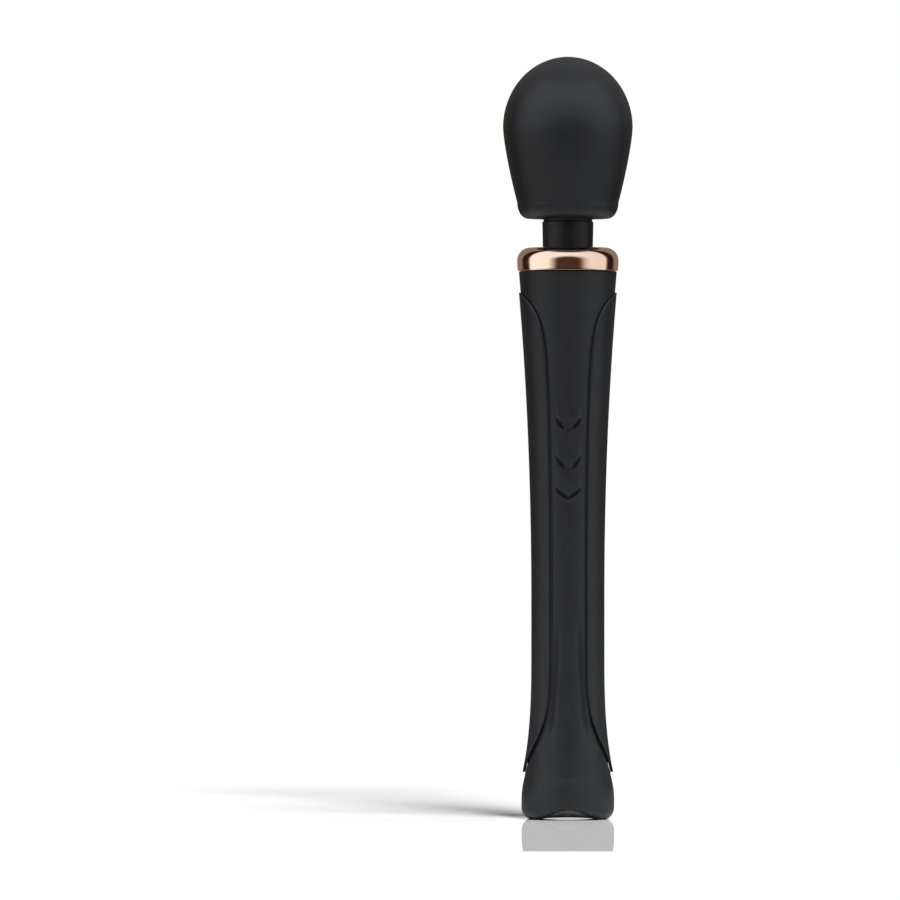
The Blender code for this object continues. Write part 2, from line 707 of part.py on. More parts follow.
def wires(root):
    """The leads inside the handle, in front of the cells and behind the board."""
    thin = 0.6 * MM
    run = 10.3 * MM
    left, right = radians(-38), radians(38)
    behind = BOARD_FRONT + BOARD_THICKNESS + GAP + thin
    points = [at(right, 5.9 * MM, 23.85 * MM), at(right, 8.6 * MM, 22.6 * MM)]
    points += [at(right, run, z * MM) for z in (28, 60, 105, 119, 124)]
    points += [(5.4 * MM, behind, 127.8 * MM), (5.2 * MM, behind + GAP, 130.5 * MM)]
    points.append((5.2 * MM, behind, 135 * MM))
    wire("battery_lead_negative", points, thin, "wire_black", root)
    points = [(0, -5.9 * MM, 125.25 * MM), (1.4 * MM, -5.6 * MM, 128.5 * MM)]
    points += [(3.1 * MM, behind, 132 * MM), (3.1 * MM, behind, 139 * MM)]
    wire("battery_lead_positive", points, thin, "wire_red", root)
    points = [(-PIN_X, 0, 10.8 * MM), (-3.6 * MM, -1.5 * MM, 13 * MM), at(left, 7.5 * MM, 18 * MM)]
    points += [at(left, run, z * MM) for z in (27, 60, 105, 119, 124)]
    points += [(-5 * MM, behind, 127.8 * MM), (-4.5 * MM, behind + GAP, 130.5 * MM)]
    points.append((-4.5 * MM, behind, 135 * MM))
    wire("charge_lead", points, thin, "wire_red", root)
    thick = 1.5 * MM
    behind += thick - thin
    points = [(-5 * MM, behind, 170 * MM), (-5 * MM, behind, 186 * MM), (-3 * MM, -2.5 * MM, 200 * MM)]
    points += [(0, 0, 216 * MM), (0, 0, NUT_BOTTOM - GAP)]
    wire("handle_lead", points, thick, "wire_black", root, 2)


# ---------------------------------------------------------------- base
def saddle_disc(name, radius, top, material, parent, rings=4):
    """A disc whose underside follows the saddle and whose top is flat."""
    steps = 24
    angles = [2 * pi * i / steps for i in range(steps)]
    under = [[on_saddle(*at(a, radius * k / rings, 0.0)) for a in angles] for k in range(1, rings + 1)]
    bm = bmesh.new()
    loops = [[bm.verts.new(p) for p in ring] for ring in under]
    loops.append([bm.verts.new(at(a, radius, top)) for a in angles])
    strips(bm, loops, wrap=False)
    centre = bm.verts.new(on_saddle(0, 0, 0))
    for i in range(steps):
        bm.faces.new((centre, loops[0][i], loops[0][(i + 1) % steps]))
    bm.faces.new(loops[-1])
    bmesh.ops.triangulate(bm, faces=[f for f in bm.faces if len(f.verts) > 4])
    return add_mesh(name, bm, material, parent)


PIN_X = 3.4 * MM
PIN_RADIUS = 1.1 * MM
CONTACT_TOP = 10.5 * MM
MAGNET_X = 8.2 * MM
MAGNET_RADIUS = 2.4 * MM


def base_pieces(root):
    """The end cap with its charging contacts and screws, and the magnets let into its back."""
    cap_top = SKIN_FLOOR_TOP
    cap = saddle_disc("end_cap", SKIN_HOLE_RADIUS - GAP, cap_top, "end_cap_grey", root)
    for hand, label in ((-1, "left"), (1, "right")):
        x = hand * PIN_X
        bore = rod(f"pin_bore_{label}", (x, 0, -MM), (x, 0, 10 * MM), PIN_RADIUS + FIT, None, None, 12)
        boolean(cap, "DIFFERENCE", bore)
        low, high = (x, 0, saddle(x, 0)), (x, 0, CONTACT_TOP)
        rod(f"charging_contact_{label}", low, high, PIN_RADIUS, "gold_contact", root, 12)
        x = hand * MAGNET_X
        low, high = (x, 0, 2.6 * MM), (x, 0, 8 * MM)
        pocket = rod(f"magnet_pocket_{label}", low, high, MAGNET_RADIUS + FIT, None, None, 12)
        boolean(cap, "DIFFERENCE", pocket)
        low, high = (x, 0, 2.6 * MM + GAP), (x, 0, cap_top - GAP)
        rod(f"charging_magnet_{label}", low, high, MAGNET_RADIUS, "magnet_grey", root, 12)
    for side, label in ((-1, "front"), (1, "rear")):
        y = side * END_SCREW_Y
        seat = saddle(0, y) + 2.6 * MM
        head = rod(f"end_seat_{label}", (0, y, -MM), (0, y, seat), 2.2 * MM)
        hole = rod(f"end_hole_{label}", (0, y, -MM), (0, y, 10 * MM), 1.3 * MM)
        boolean(cap, "DIFFERENCE", head)
        boolean(cap, "DIFFERENCE", hole)
        screw(f"end_cap_screw_{label}", (0, y, 13 * MM), (0, y, seat - GAP), 1.9 * MM, 1.05 * MM, root)


# ---------------------------------------------------------------- collar, top cap and neck
TOP_CAP_BOTTOM = 238.5 * MM
TOP_CAP_RIM = 240.8 * MM
TOP_CAP_TOP = 243.2 * MM
TOP_CAP_SPIGOT = 17.2 * MM
SLEEVE_FLANGE_TOP = 245.5 * MM
LIP_BOTTOM = 245.8 * MM
ANCHOR_RADIUS = 5.6 * MM
ANCHOR_BORE = 3.2 * MM
NUT_BOTTOM = 234.6 * MM
LOWER_ANCHOR_TOP = 251.5 * MM
UPPER_ANCHOR_BOTTOM = 261.5 * MM


def collar(root):
    """The rose-gold ring: upright sides, a quarter-round shoulder and a lip over the sleeve's flange."""
    inner_edge = 0.8 * MM
    bulge = 0.25 * MM
    centre = (COLLAR_RADIUS - COLLAR_SHOULDER, COLLAR_TOP - COLLAR_SHOULDER)
    shoulder = arc(centre, COLLAR_SHOULDER, COLLAR_SHOULDER, 0, 90, 6)
    lip = (COLLAR_OPENING + inner_edge, COLLAR_TOP - inner_edge)
    outline = [(COLLAR_RADIUS - bulge, COLLAR_BOTTOM), *shoulder]
    outline += arc(lip, inner_edge, inner_edge, 90, 180, 3)
    inner = TOP_CAP_SPIGOT + GAP
    outline += [(COLLAR_OPENING, LIP_BOTTOM), (inner, LIP_BOTTOM), (inner, COLLAR_BOTTOM)]
    turned("collar_ring", outline, "rose_gold", root, 40)


def top_cap(root):
    """The plate that closes the casing's top, carries the neck and centres the collar."""
    rim = shell_outer(SHELL_TOP) - 0.1 * MM
    outline = [
        (ANCHOR_RADIUS + FIT, TOP_CAP_BOTTOM),
        (rim, TOP_CAP_BOTTOM),
        (rim, TOP_CAP_RIM),
        (TOP_CAP_SPIGOT, TOP_CAP_RIM),
        (TOP_CAP_SPIGOT, TOP_CAP_TOP),
        (ANCHOR_RADIUS + FIT, TOP_CAP_TOP),
    ]
    cap = turned("top_cap", outline, "casing_plastic", root)
    for i, angle in enumerate(CAP_SCREW_ANGLES):
        low, seat, high = (at(angle, CAP_SCREW_RADIUS, z * MM) for z in (236, 241.4, 246))
        boolean(cap, "DIFFERENCE", rod(f"top_cap_hole_{i}", low, high, 1.25 * MM))
        boolean(cap, "DIFFERENCE", rod(f"top_cap_seat_{i}", seat, high, 1.9 * MM))
        tip, head = (at(angle, CAP_SCREW_RADIUS, z * MM) for z in (230, 241.7))
        screw(f"top_cap_screw_{i + 1}", tip, head, 1.6 * MM, 1.0 * MM, root)


def anchor(name, flange, flange_thick, end, thread_end, parent):
    """A hollow stud: it fills the spring's end, has a flange on the plate and a thread through it."""
    low, high = sorted((end, thread_end))
    near, far = sorted((flange, flange + flange_thick))
    outline = [(ANCHOR_BORE, low), (ANCHOR_RADIUS, low), (ANCHOR_RADIUS, near), (8.2 * MM, near)]
    outline += [(8.2 * MM, far), (ANCHOR_RADIUS, far), (ANCHOR_RADIUS, high), (ANCHOR_BORE, high)]
    turned(name, outline, "steel", parent, 24)


def nut(name, bottom, thick, parent):
    """A six-sided nut with a round bore."""
    bm = bmesh.new()
    bmesh.ops.create_cone(bm, cap_ends=True, segments=6, radius1=9 * MM, radius2=9 * MM, depth=thick)
    bmesh.ops.translate(bm, vec=(0, 0, bottom + thick / 2), verts=bm.verts)
    obj = add_mesh(name, bm, "steel", parent)
    low, high = (0, 0, bottom - MM), (0, 0, bottom + thick + MM)
    boolean(obj, "DIFFERENCE", rod(f"{name}_bore", low, high, ANCHOR_RADIUS + FIT, None, None, 24))


HEAD_FLOOR = 270.4 * MM
HEAD_FLOOR_TOP = 272.6 * MM


def neck(root, link, head):
    """The flexible neck: a steel spring between two anchors, inside a thick silicone sleeve."""
    anchor("neck_anchor_lower", TOP_CAP_TOP + FIT, 2.2 * MM, LOWER_ANCHOR_TOP, NUT_BOTTOM, root)
    nut("neck_nut_lower", NUT_BOTTOM + 0.4 * MM, 3.2 * MM, root)
    anchor("neck_anchor_upper", HEAD_FLOOR - FIT, -2.2 * MM, UPPER_ANCHOR_BOTTOM, 276.2 * MM, head)
    nut("neck_nut_upper", HEAD_FLOOR_TOP + FIT, 2.9 * MM, head)
    lower_flange, upper_flange = 16.6 * MM, 13.2 * MM
    bottom, top = TOP_CAP_TOP + GAP, HEAD_FLOOR - GAP
    inner = NECK_INNER_RADIUS
    outline = [
        (inner, bottom),
        (lower_flange, bottom),
        (lower_flange, SLEEVE_FLANGE_TOP),
        (NECK_BOTTOM_RADIUS, SLEEVE_FLANGE_TOP),
        (NECK_BOTTOM_RADIUS, COLLAR_TOP - MM),
        (NECK_TOP_RADIUS, HEAD_BOTTOM - MM),
        (NECK_TOP_RADIUS, top - 2.0 * MM),
        (upper_flange, top - 2.0 * MM),
        (upper_flange, top),
        (inner, top),
    ]
    turned("neck_sleeve", outline, "soft_black", link)
    neck_spring(link)
    ends = [(0, 0, NUT_BOTTOM), (0, 0, SIDE_PIVOT), (0, 0, FORE_PIVOT), (0, 0, 276.4 * MM)]
    wire("neck_lead", ends, 1.5 * MM, "wire_black", link, 2)


def neck_spring(link):
    """A close steel coil between the two anchors' flanges."""
    turns, per_turn = 6, 10
    wire_radius = 0.75 * MM
    coil = (ANCHOR_RADIUS + GAP + NECK_INNER_RADIUS) / 2
    low = TOP_CAP_TOP + FIT + 2.2 * MM + wire_radius + GAP
    high = HEAD_FLOOR - FIT - 2.2 * MM - wire_radius - GAP
    count = turns * per_turn
    points = []
    for i in range(count + 1):
        turn = 2 * pi * i / per_turn
        points.append(at(turn, coil, low + (high - low) * i / count))
    curve = bpy.data.curves.new("neck_spring", "CURVE")
    curve.dimensions = "3D"
    curve.bevel_depth = wire_radius
    curve.bevel_resolution = 1
    curve.use_fill_caps = True
    spline = curve.splines.new("POLY")
    spline.points.add(count)
    for point, place in zip(spline.points, points):
        point.co = (*place, 1.0)
    curve.materials.append(MATERIALS["steel"])
    obj = bpy.data.objects.new("neck_spring", curve)
    bpy.context.scene.collection.objects.link(obj)
    place_on(obj, link)


# ---------------------------------------------------------------- head
def head_radius(z):
    """The head's outer face below its widest height."""
    fall = (HEAD_WIDEST - z) / (HEAD_WIDEST - HEAD_CORNER_TOP)
    return HEAD_RADIUS - HEAD_TAPER * fall**HEAD_TAPER_POWER


def head_side(inset, low, high, steps):
    """Points up the tapering side between two heights, moved inwards by inset."""
    return [(head_radius(z) - inset, z) for z in spread(low, high, steps)]


def head_dome(inset, steps):
    """Points over the dome from its widest height to the axis, moved inwards by inset."""
    rise = WAND_HEIGHT - HEAD_WIDEST - inset
    return arc((0, HEAD_WIDEST), HEAD_RADIUS - inset, rise, 0, 90, steps)


def head_cover(head):
    """The soft outer ball, open round the neck."""
    corner_radius = head_radius(HEAD_CORNER_TOP)
    centre = (HEAD_FLAT_RADIUS, HEAD_CORNER_TOP)
    edge = arc(centre, corner_radius - HEAD_FLAT_RADIUS, HEAD_CORNER_TOP - HEAD_BOTTOM, -90, 0, 5)
    hole = NECK_TOP_RADIUS + 0.4 * MM
    floor_top = HEAD_BOTTOM + HEAD_BOTTOM_WALL
    outside = [(hole, HEAD_BOTTOM), *edge, *head_side(0, HEAD_CORNER_TOP, HEAD_WIDEST, 5)[1:-1]]
    outside += head_dome(0, 8)
    inside = head_side(HEAD_WALL, floor_top + 3 * MM, HEAD_WIDEST, 5)[:-1] + head_dome(HEAD_WALL, 7)
    floor_edge = (head_radius(HEAD_CORNER_TOP) - HEAD_WALL - 2 * MM, floor_top)
    outline = [*outside, *reversed(inside), floor_edge, (hole, floor_top)]
    turned("head_cover", outline, "soft_black", head)


POCKET_INNER = 14.5 * MM
POCKET_OUTER = 18.5 * MM
POCKET_TOP = 304.7 * MM
MOTOR_SEAT = 276.7 * MM
SLEEVE_OUTER = 14.2 * MM
BRACKET_BOTTOM = 305.0 * MM
BRACKET_TOP = 306.8 * MM
BRACKET_SCREW_RADIUS = 16.5 * MM
BRACKET_ANGLES = (pi / 2, -pi / 2)


def head_shells(head):
    """The lower cup with the motor pocket, and the upper dome with the bearing seat."""
    inset = HEAD_WALL + GAP
    inner = inset + HEAD_SHELL_WALL
    floor_edge = HEAD_FLOOR - 2.3 * MM
    flange_clear = 13.5 * MM
    wall_foot = head_radius(HEAD_CORNER_TOP) - inset - 2.4 * MM
    outside = head_side(inset, HEAD_FLOOR + 1.5 * MM, HEAD_SPLIT - FIT, 4)
    inside = reversed(head_side(inner, HEAD_FLOOR_TOP + MM, HEAD_SPLIT - FIT, 4))
    outline = [(ANCHOR_RADIUS + FIT, HEAD_FLOOR), (flange_clear, HEAD_FLOOR)]
    outline += [(flange_clear, floor_edge), (wall_foot, floor_edge), *outside, *inside]
    outline += [(POCKET_INNER, HEAD_FLOOR_TOP), (ANCHOR_RADIUS + FIT, HEAD_FLOOR_TOP)]
    lower = turned("head_shell_lower", outline, "casing_plastic", head, 24)
    foot, ledge = HEAD_FLOOR_TOP - 0.7 * MM, 10.5 * MM
    pocket = [(ledge, foot), (POCKET_OUTER - 1.3 * MM, foot), (POCKET_OUTER, 280 * MM)]
    pocket += [(POCKET_OUTER, POCKET_TOP), (POCKET_INNER, POCKET_TOP)]
    pocket += [(POCKET_INNER, MOTOR_SEAT), (ledge, MOTOR_SEAT)]
    boolean(lower, "UNION", turned("motor_pocket", pocket, None, head, 24))
    for i, angle in enumerate(BRACKET_ANGLES):
        low, high = (at(angle, BRACKET_SCREW_RADIUS, z) for z in (292 * MM, 310 * MM))
        boolean(lower, "DIFFERENCE", rod(f"pocket_hole_{i}", low, high, 1.2 * MM, None, None, 10))
    rim = HEAD_SPLIT + FIT
    dome_out = [(head_radius(rim) - inset, rim), *head_dome(inset, 7)]
    dome_in = [(head_radius(rim) - inner, rim), *head_dome(inner, 6)]
    upper = turned("head_shell_upper", dome_out + dome_in[::-1], "casing_plastic", head, 24)
    seat = ring_outline(BEARING_RADIUS + FIT, BEARING_RADIUS + 2 * MM, BEARING_BOTTOM - FIT, 329.6 * MM)
    boolean(upper, "UNION", turned("bearing_seat", seat, None, head, SMALL_ROUND))


BEARING_RADIUS = 4.0 * MM
BEARING_BOTTOM = 323.8 * MM
BEARING_TOP = 327.0 * MM


def motor(head, rotor):
    """A can motor in a rubber sleeve, held down by a bracket, with its weight on a long shaft."""
    sleeve = [(MOTOR_RADIUS + FIT, 277.0 * MM), (SLEEVE_OUTER, 277.0 * MM)]
    sleeve += [(SLEEVE_OUTER, 302 * MM), (MOTOR_RADIUS + FIT, 302 * MM)]
    turned("motor_sleeve", sleeve, "seal_rubber", head, 24)
    can_wall, boss = 1.0 * MM, 3.6 * MM
    bore = SHAFT_RADIUS + 0.2 * MM
    can_inner = MOTOR_RADIUS - can_wall
    can = [(can_inner, MOTOR_BOTTOM + GAP), (MOTOR_RADIUS, MOTOR_BOTTOM + GAP)]
    can += [(MOTOR_RADIUS, MOTOR_TOP), (boss, MOTOR_TOP), (boss, MOTOR_TOP + 2 * MM)]
    can += [(bore, MOTOR_TOP + 2 * MM), (bore, MOTOR_TOP - can_wall), (can_inner, MOTOR_TOP - can_wall)]
    turned("motor_can", can, "motor_steel", head, 24)
    end_plate = disc_outline(can_inner + 0.6 * MM, 277.1 * MM, MOTOR_BOTTOM)
    turned("motor_end_plate", end_plate, "white_plastic", head, 24)
    press = SHAFT_RADIUS + 0.1 * MM
    armature = ring_outline(press, 9.0 * MM, MOTOR_BOTTOM + 5 * MM, MOTOR_TOP - 5 * MM)
    turned("motor_armature", armature, "magnet_grey", rotor, SMALL_ROUND)
    shaft = disc_outline(SHAFT_RADIUS, MOTOR_BOTTOM + MM, BEARING_TOP - GAP)
    turned("motor_shaft", shaft, "steel", rotor, SMALL_ROUND)
    bracket = ring_outline(boss + 0.4 * MM, POCKET_OUTER - FIT, BRACKET_BOTTOM, BRACKET_TOP)
    plate = turned("motor_bracket", bracket, "steel", head, 24)
    for i, angle in enumerate(BRACKET_ANGLES):
        low, high = (at(angle, BRACKET_SCREW_RADIUS, z) for z in (300 * MM, 312 * MM))
        boolean(plate, "DIFFERENCE", rod(f"bracket_hole_{i}", low, high, 1.15 * MM, None, None, 10))
        tip, seat = (at(angle, BRACKET_SCREW_RADIUS, z) for z in (294 * MM, BRACKET_TOP + GAP))
        screw(f"bracket_screw_{i + 1}", tip, seat, 1.8 * MM, 0.9 * MM, head)
    bearing = ring_outline(SHAFT_RADIUS + 0.1 * MM, BEARING_RADIUS, BEARING_BOTTOM, BEARING_TOP)
    turned("shaft_bearing", bearing, "brass", head, SMALL_ROUND)
    eccentric_weight(rotor)


def eccentric_weight(rotor):
    """A half-round steel weight on a hub, so that the head shakes as the shaft turns."""
    bottom, top, outer = 309.6 * MM, 321.5 * MM, 13.6 * MM
    hub = 3.6 * MM
    outline = ring_outline(SHAFT_RADIUS + 0.1 * MM, outer, bottom, top)
    weight = turned("eccentric_weight", outline, "steel", rotor, 24)
    centre, size = (0, outer / 2 + hub, (bottom + top) / 2), (3 * outer, outer, 3 * (top - bottom))
    away = block("weight_cut", centre, size, None, rotor)
    boolean(weight, "DIFFERENCE", away)


# ---------------------------------------------------------------- assembly
def build():
    root = body_empty("handle")
    link = body_empty("neck", (0, 0, SIDE_PIVOT), root)
    head = body_empty("head", (0, 0, FORE_PIVOT), link)
    rotor = body_empty("rotor", (0, 0, (MOTOR_TOP + MOTOR_BOTTOM) / 2), head)
    handle_skin(root)
    grip("left_grip", -1, root)
    grip("right_grip", 1, root)
    casing(root)
    button_set(root)
    control_board(root)
    battery(root)
    wires(root)
    base_pieces(root)
    collar(root)
    top_cap(root)
    neck(root, link, head)
    head_cover(head)
    head_shells(head)
    motor(head, rotor)


clear_scene()
MATERIALS = make_materials()
build()
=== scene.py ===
"""Looks of the cordless wand massager: camera, studio light and finished pieces over the model."""

import json
from math import cos, exp, hypot, pi, radians, sin, sqrt, tan

import bmesh
import bpy
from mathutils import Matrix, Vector

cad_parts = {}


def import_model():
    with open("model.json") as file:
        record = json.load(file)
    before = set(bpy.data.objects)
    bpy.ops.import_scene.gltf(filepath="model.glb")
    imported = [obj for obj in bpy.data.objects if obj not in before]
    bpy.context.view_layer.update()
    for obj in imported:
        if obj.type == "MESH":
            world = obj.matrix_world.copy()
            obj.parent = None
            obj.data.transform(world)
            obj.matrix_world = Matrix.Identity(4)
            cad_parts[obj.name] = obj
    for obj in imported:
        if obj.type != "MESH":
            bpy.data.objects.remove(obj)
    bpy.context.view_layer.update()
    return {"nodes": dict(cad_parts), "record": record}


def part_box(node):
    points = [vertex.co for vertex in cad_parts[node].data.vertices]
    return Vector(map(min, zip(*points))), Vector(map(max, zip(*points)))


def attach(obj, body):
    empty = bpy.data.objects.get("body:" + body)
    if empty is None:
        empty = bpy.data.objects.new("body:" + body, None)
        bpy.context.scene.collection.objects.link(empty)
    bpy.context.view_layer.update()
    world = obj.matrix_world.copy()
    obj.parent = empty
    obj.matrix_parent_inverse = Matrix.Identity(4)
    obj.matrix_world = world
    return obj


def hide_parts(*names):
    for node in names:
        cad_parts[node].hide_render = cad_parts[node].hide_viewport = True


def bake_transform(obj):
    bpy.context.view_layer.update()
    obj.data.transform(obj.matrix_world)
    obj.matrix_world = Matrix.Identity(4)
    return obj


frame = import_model()
MM = 0.001

# ---------------------------------------------------------------- places from the frame
HANDLE_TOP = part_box("handle_skin")[1][2]
GRIP_TIP = 0.3 * MM  # the grips' outline runs on this far past the model's grips, to a point
GRIP_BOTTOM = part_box("right_grip")[0][2] - GRIP_TIP
GRIP_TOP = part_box("right_grip")[1][2] + GRIP_TIP
COLLAR_BOTTOM, COLLAR_TOP = (corner[2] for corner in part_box("collar_ring"))
COLLAR_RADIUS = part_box("collar_ring")[1][0]
HEAD_BOTTOM, WAND_HEIGHT = (corner[2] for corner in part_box("head_cover"))
HEAD_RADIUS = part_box("head_cover")[1][0]
CAP_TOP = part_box("end_cap")[1][2]
CAP_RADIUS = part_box("end_cap")[1][0]
SLEEVE_BOTTOM, SLEEVE_TOP = (corner[2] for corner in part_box("neck_sleeve"))
LEAD_BOTTOM, LEAD_TOP = (corner[2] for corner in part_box("neck_lead"))
SPRING_BOTTOM, SPRING_TOP = (corner[2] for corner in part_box("neck_spring"))

# ---------------------------------------------------------------- shape of the handle
WAIST_RADIUS = 16.1 * MM
BODY_WAIST_RADIUS = 15.65 * MM
WAIST_TOP = 95 * MM
WAIST_BOTTOM = 75 * MM
BASE_RADIUS = 20.4 * MM
BASE_WIDEST = 8.2 * MM
BASE_TOP = 18.3 * MM
BASE_NECK_RADIUS = 19.1 * MM
SKIN_WALL = 2.15 * MM
SIDE_EDGE_REACH = 4.2 * MM
SIDE_EDGE_HEIGHT = 5.0 * MM
FRONT_EDGE_REACH = 1.5 * MM
FRONT_EDGE_HEIGHT = 1.7 * MM
SKIN_HOLE_RADIUS = CAP_RADIUS + 0.3 * MM
ARCH_HALF_WIDTH = 15.8 * MM
ARCH_FRONT = 4.35 * MM
ARCH_MIDDLE = 0.6 * MM
ARCH_POWER = 1.6
FOOT_SHARE = 0.06
GRIP_WALL = 1.3 * MM
GRIP_TOP_FLARE = 5.45 * MM
GRIP_BASE_FLARE = 3.9 * MM
BODY_TOP_FLARE = 5.15 * MM
TOP_FLARE_POWER = 2.1
GRIP_BASE_POWER = 3.0
BODY_BASE_POWER = 3.2
STRIP_HALF_ANGLE = radians(27.4)
TIP_HALF_ANGLE = radians(3)
TOP_SWEEP = 6.5 * MM
TOP_SWEEP_POWER = 0.78
BASE_SWEEP = 13.4 * MM
BASE_SWEEP_POWER = 1.3
GROOVE_TOP = 0.35 * MM
GROOVE_MIDDLE = 0.95 * MM
GROOVE_BOTTOM = 2.8 * MM
GROOVE_DEPTH = 0.6 * MM
GROOVE_TIP_DEPTH = 1.2 * MM
# the groove changes width, or depth at the lower tip, over these distances from the grip's ends
GROOVE_TOP_FADE = 28 * MM
GROOVE_BASE_FADE = (5 * MM, 36 * MM)
GROOVE_TIP_FADE = (5 * MM, 30 * MM)
GRIP_LEAST_SHARE = 0.6
STRIP_EDGE_ROUND = 0.8 * MM
GRIP_EDGE_ROUND = 1.0 * MM

# ---------------------------------------------------------------- buttons
BUTTON_HALF_WIDTH = 6.1 * MM
BUTTON_LIP = 0.7 * MM
BUTTON_WALL = 1.3 * MM
BUTTON_GAP = 0.03 * MM
BUTTON_NAMES = ("down", "power", "up")
BUTTON_EDGES = (
    # apex height and depth of each V, from the lowest button's lower edge to the highest one's top
    (141.9 * MM, 4.3 * MM),
    (153.6 * MM, 6.8 * MM),
    (171.1 * MM, 5.8 * MM),
    (186.7 * MM, 5.8 * MM),
)
TRENCH_DEPTH = 0.95 * MM
TRENCH_WIDTH = 2.7 * MM
# shares of the V's half width over which its valley starts (also for the lowest V) and ends
TRENCH_START = (0.08, 0.4)
LOWEST_TRENCH_START = (-0.5, 0.3)
TRENCH_STOP = (0.6, 0.96)
TRENCH_FLAT_SHARE = 0.45
SWELL_REACH = 9 * MM
BUTTON_EDGE_ROUND = 0.7 * MM
BUTTON_EDGE_DROP = 0.35
BUTTON_SIDE_FADE = 0.7
BUTTON_ROWS = 56
BUTTON_COLUMNS = 48
WINDOW_FRONT = -22 * MM
WINDOW_DEPTH = 10 * MM

# ---------------------------------------------------------------- head, neck and collar
HEAD_WIDEST = 304.0 * MM
HEAD_TAPER = 6.25 * MM
HEAD_TAPER_POWER = 1.37
HEAD_CORNER_TOP = 271.0 * MM
HEAD_FLAT_RADIUS = 17.5 * MM
HEAD_WALL = 4.0 * MM
NECK_TOP_RADIUS = 11.3 * MM
NECK_BOTTOM_RADIUS = 10.9 * MM
NECK_INNER_RADIUS = 8.6 * MM
NECK_MIDDLE = 257.5 * MM
NECK_BEND_START = 247 * MM
NECK_BEND_END = 267 * MM

# ---------------------------------------------------------------- picture
LENS = 309.0
SENSOR = 36.0
VIEW_WIDTH = 396 * MM
VIEW_CENTRE = Vector((-51.85 * MM, 0, 162.2 * MM))


# ---------------------------------------------------------------- material helpers
def new_material(name):
    """A material with its node tree and its Principled shader."""
    material = bpy.data.materials.new(name)
    material.use_nodes = True
    return material, material.node_tree, material.node_tree.nodes["Principled BSDF"]


def add_node(tree, kind, inputs=None, **settings):
    """Adds a node; inputs maps socket names to values or to the sockets they are linked from."""
    node = tree.nodes.new(kind)
    for key, value in settings.items():
        setattr(node, key, value)
    for key, value in (inputs or {}).items():
        if isinstance(value, bpy.types.NodeSocket):
            tree.links.new(value, node.inputs[key])
        else:
            node.inputs[key].default_value = value
    return node


def place_of(tree, stretch=(1, 1, 1)):
    """The wand's own coordinates, in metres, stretched."""
    where = add_node(tree, "ShaderNodeTexCoord").outputs["Object"]
    return add_node(tree, "ShaderNodeMapping", {"Vector": where, "Scale": stretch}).outputs["Vector"]


def noise(tree, scale, detail, stretch=(1, 1, 1)):
    """Noise with about scale cells to the metre."""
    inputs = {"Vector": place_of(tree, stretch), "Scale": scale, "Detail": detail, "Roughness": 0.55}
    return add_node(tree, "ShaderNodeTexNoise", inputs).outputs["Fac"]


def ranged(tree, value, low, high, start=0.0, end=1.0):
    """Low where the value is start or less, high where it is end or more."""
    inputs = {"Value": value, "From Min": start, "From Max": end, "To Min": low, "To Max": high}
    return add_node(tree, "ShaderNodeMapRange", inputs).outputs["Result"]


def mixed(tree, share, first, second):
    """The first colour at share 0 and the second at share 1; a colour is a value or a socket."""
    mix = add_node(tree, "ShaderNodeMix", data_type="RGBA")
    tree.links.new(share, mix.inputs["Factor"])
    for socket, colour in ((mix.inputs[6], first), (mix.inputs[7], second)):
        if isinstance(colour, bpy.types.NodeSocket):
            tree.links.new(colour, socket)
        else:
            socket.default_value = (*colour, 1.0)
    return mix.outputs[2]


def bumped(tree, shader, height, distance, strength, under=None):
    """Bump of this depth on the shader, on top of the bump under it."""
    inputs = {"Height": height, "Distance": distance, "Strength": strength}
    if under:
        inputs["Normal"] = under
    bump = add_node(tree, "ShaderNodeBump", inputs).outputs["Normal"]
    tree.links.new(bump, shader.inputs["Normal"])
    return bump


# ---------------------------------------------------------------- materials
# shade painted into the silicone: it turns a deeper black in its hollows, and shines less there and where
# it is seen edge on
PAINTED_SHADE_BLACK = (0.0045, 0.0045, 0.005)
RIM_SHARE = 0.8
RIM_RANGE = (0.35, 0.85)
SILICONE_IOR = 1.43
SILICONE_GLOSS, SILICONE_DULL = 0.45, 0.1
LINT_GAIN = 2.2


def silicone(name, dark, light, roughness):
    """Soft-touch silicone: faint mottling, a fine moulded grain and a few specks of lint."""
    material, tree, shader = new_material(name)
    colour = mixed(tree, ranged(tree, noise(tree, 45, 5), 0, 1, 0.3, 0.7), dark, light)
    specks = add_node(tree, "ShaderNodeTexVoronoi", {"Vector": place_of(tree), "Scale": 260.0})
    lint = ranged(tree, specks.outputs["Distance"], 0.5, 0.0, 0.02, 0.05)
    colour = mixed(tree, lint, colour, tuple(LINT_GAIN * c for c in light))
    hollow_shade = add_node(tree, "ShaderNodeAttribute", attribute_name="hollow_shade").outputs["Fac"]
    turned_away = add_node(tree, "ShaderNodeLayerWeight", {"Blend": 0.5}).outputs["Facing"]
    rim = ranged(tree, turned_away, 0.0, RIM_SHARE, *RIM_RANGE)
    dull = add_node(tree, "ShaderNodeMath", {0: hollow_shade, 1: rim}, operation="MAXIMUM").outputs["Value"]
    # painted shade: the base colour turns black where a point lies deep in a hollow
    tree.links.new(mixed(tree, hollow_shade, colour, PAINTED_SHADE_BLACK), shader.inputs["Base Color"])
    wear = ranged(tree, noise(tree, 240, 4), roughness - 0.05, roughness + 0.06, 0.3, 0.7)
    tree.links.new(wear, shader.inputs["Roughness"])
    shader.inputs["IOR"].default_value = SILICONE_IOR
    gloss = ranged(tree, dull, SILICONE_GLOSS, SILICONE_DULL)
    tree.links.new(gloss, shader.inputs["Specular IOR Level"])
    grain = bumped(tree, shader, noise(tree, 2400, 3), 0.02 * MM, 0.5)
    bumped(tree, shader, noise(tree, 120, 2), 0.035 * MM, 0.2, grain)
    return material


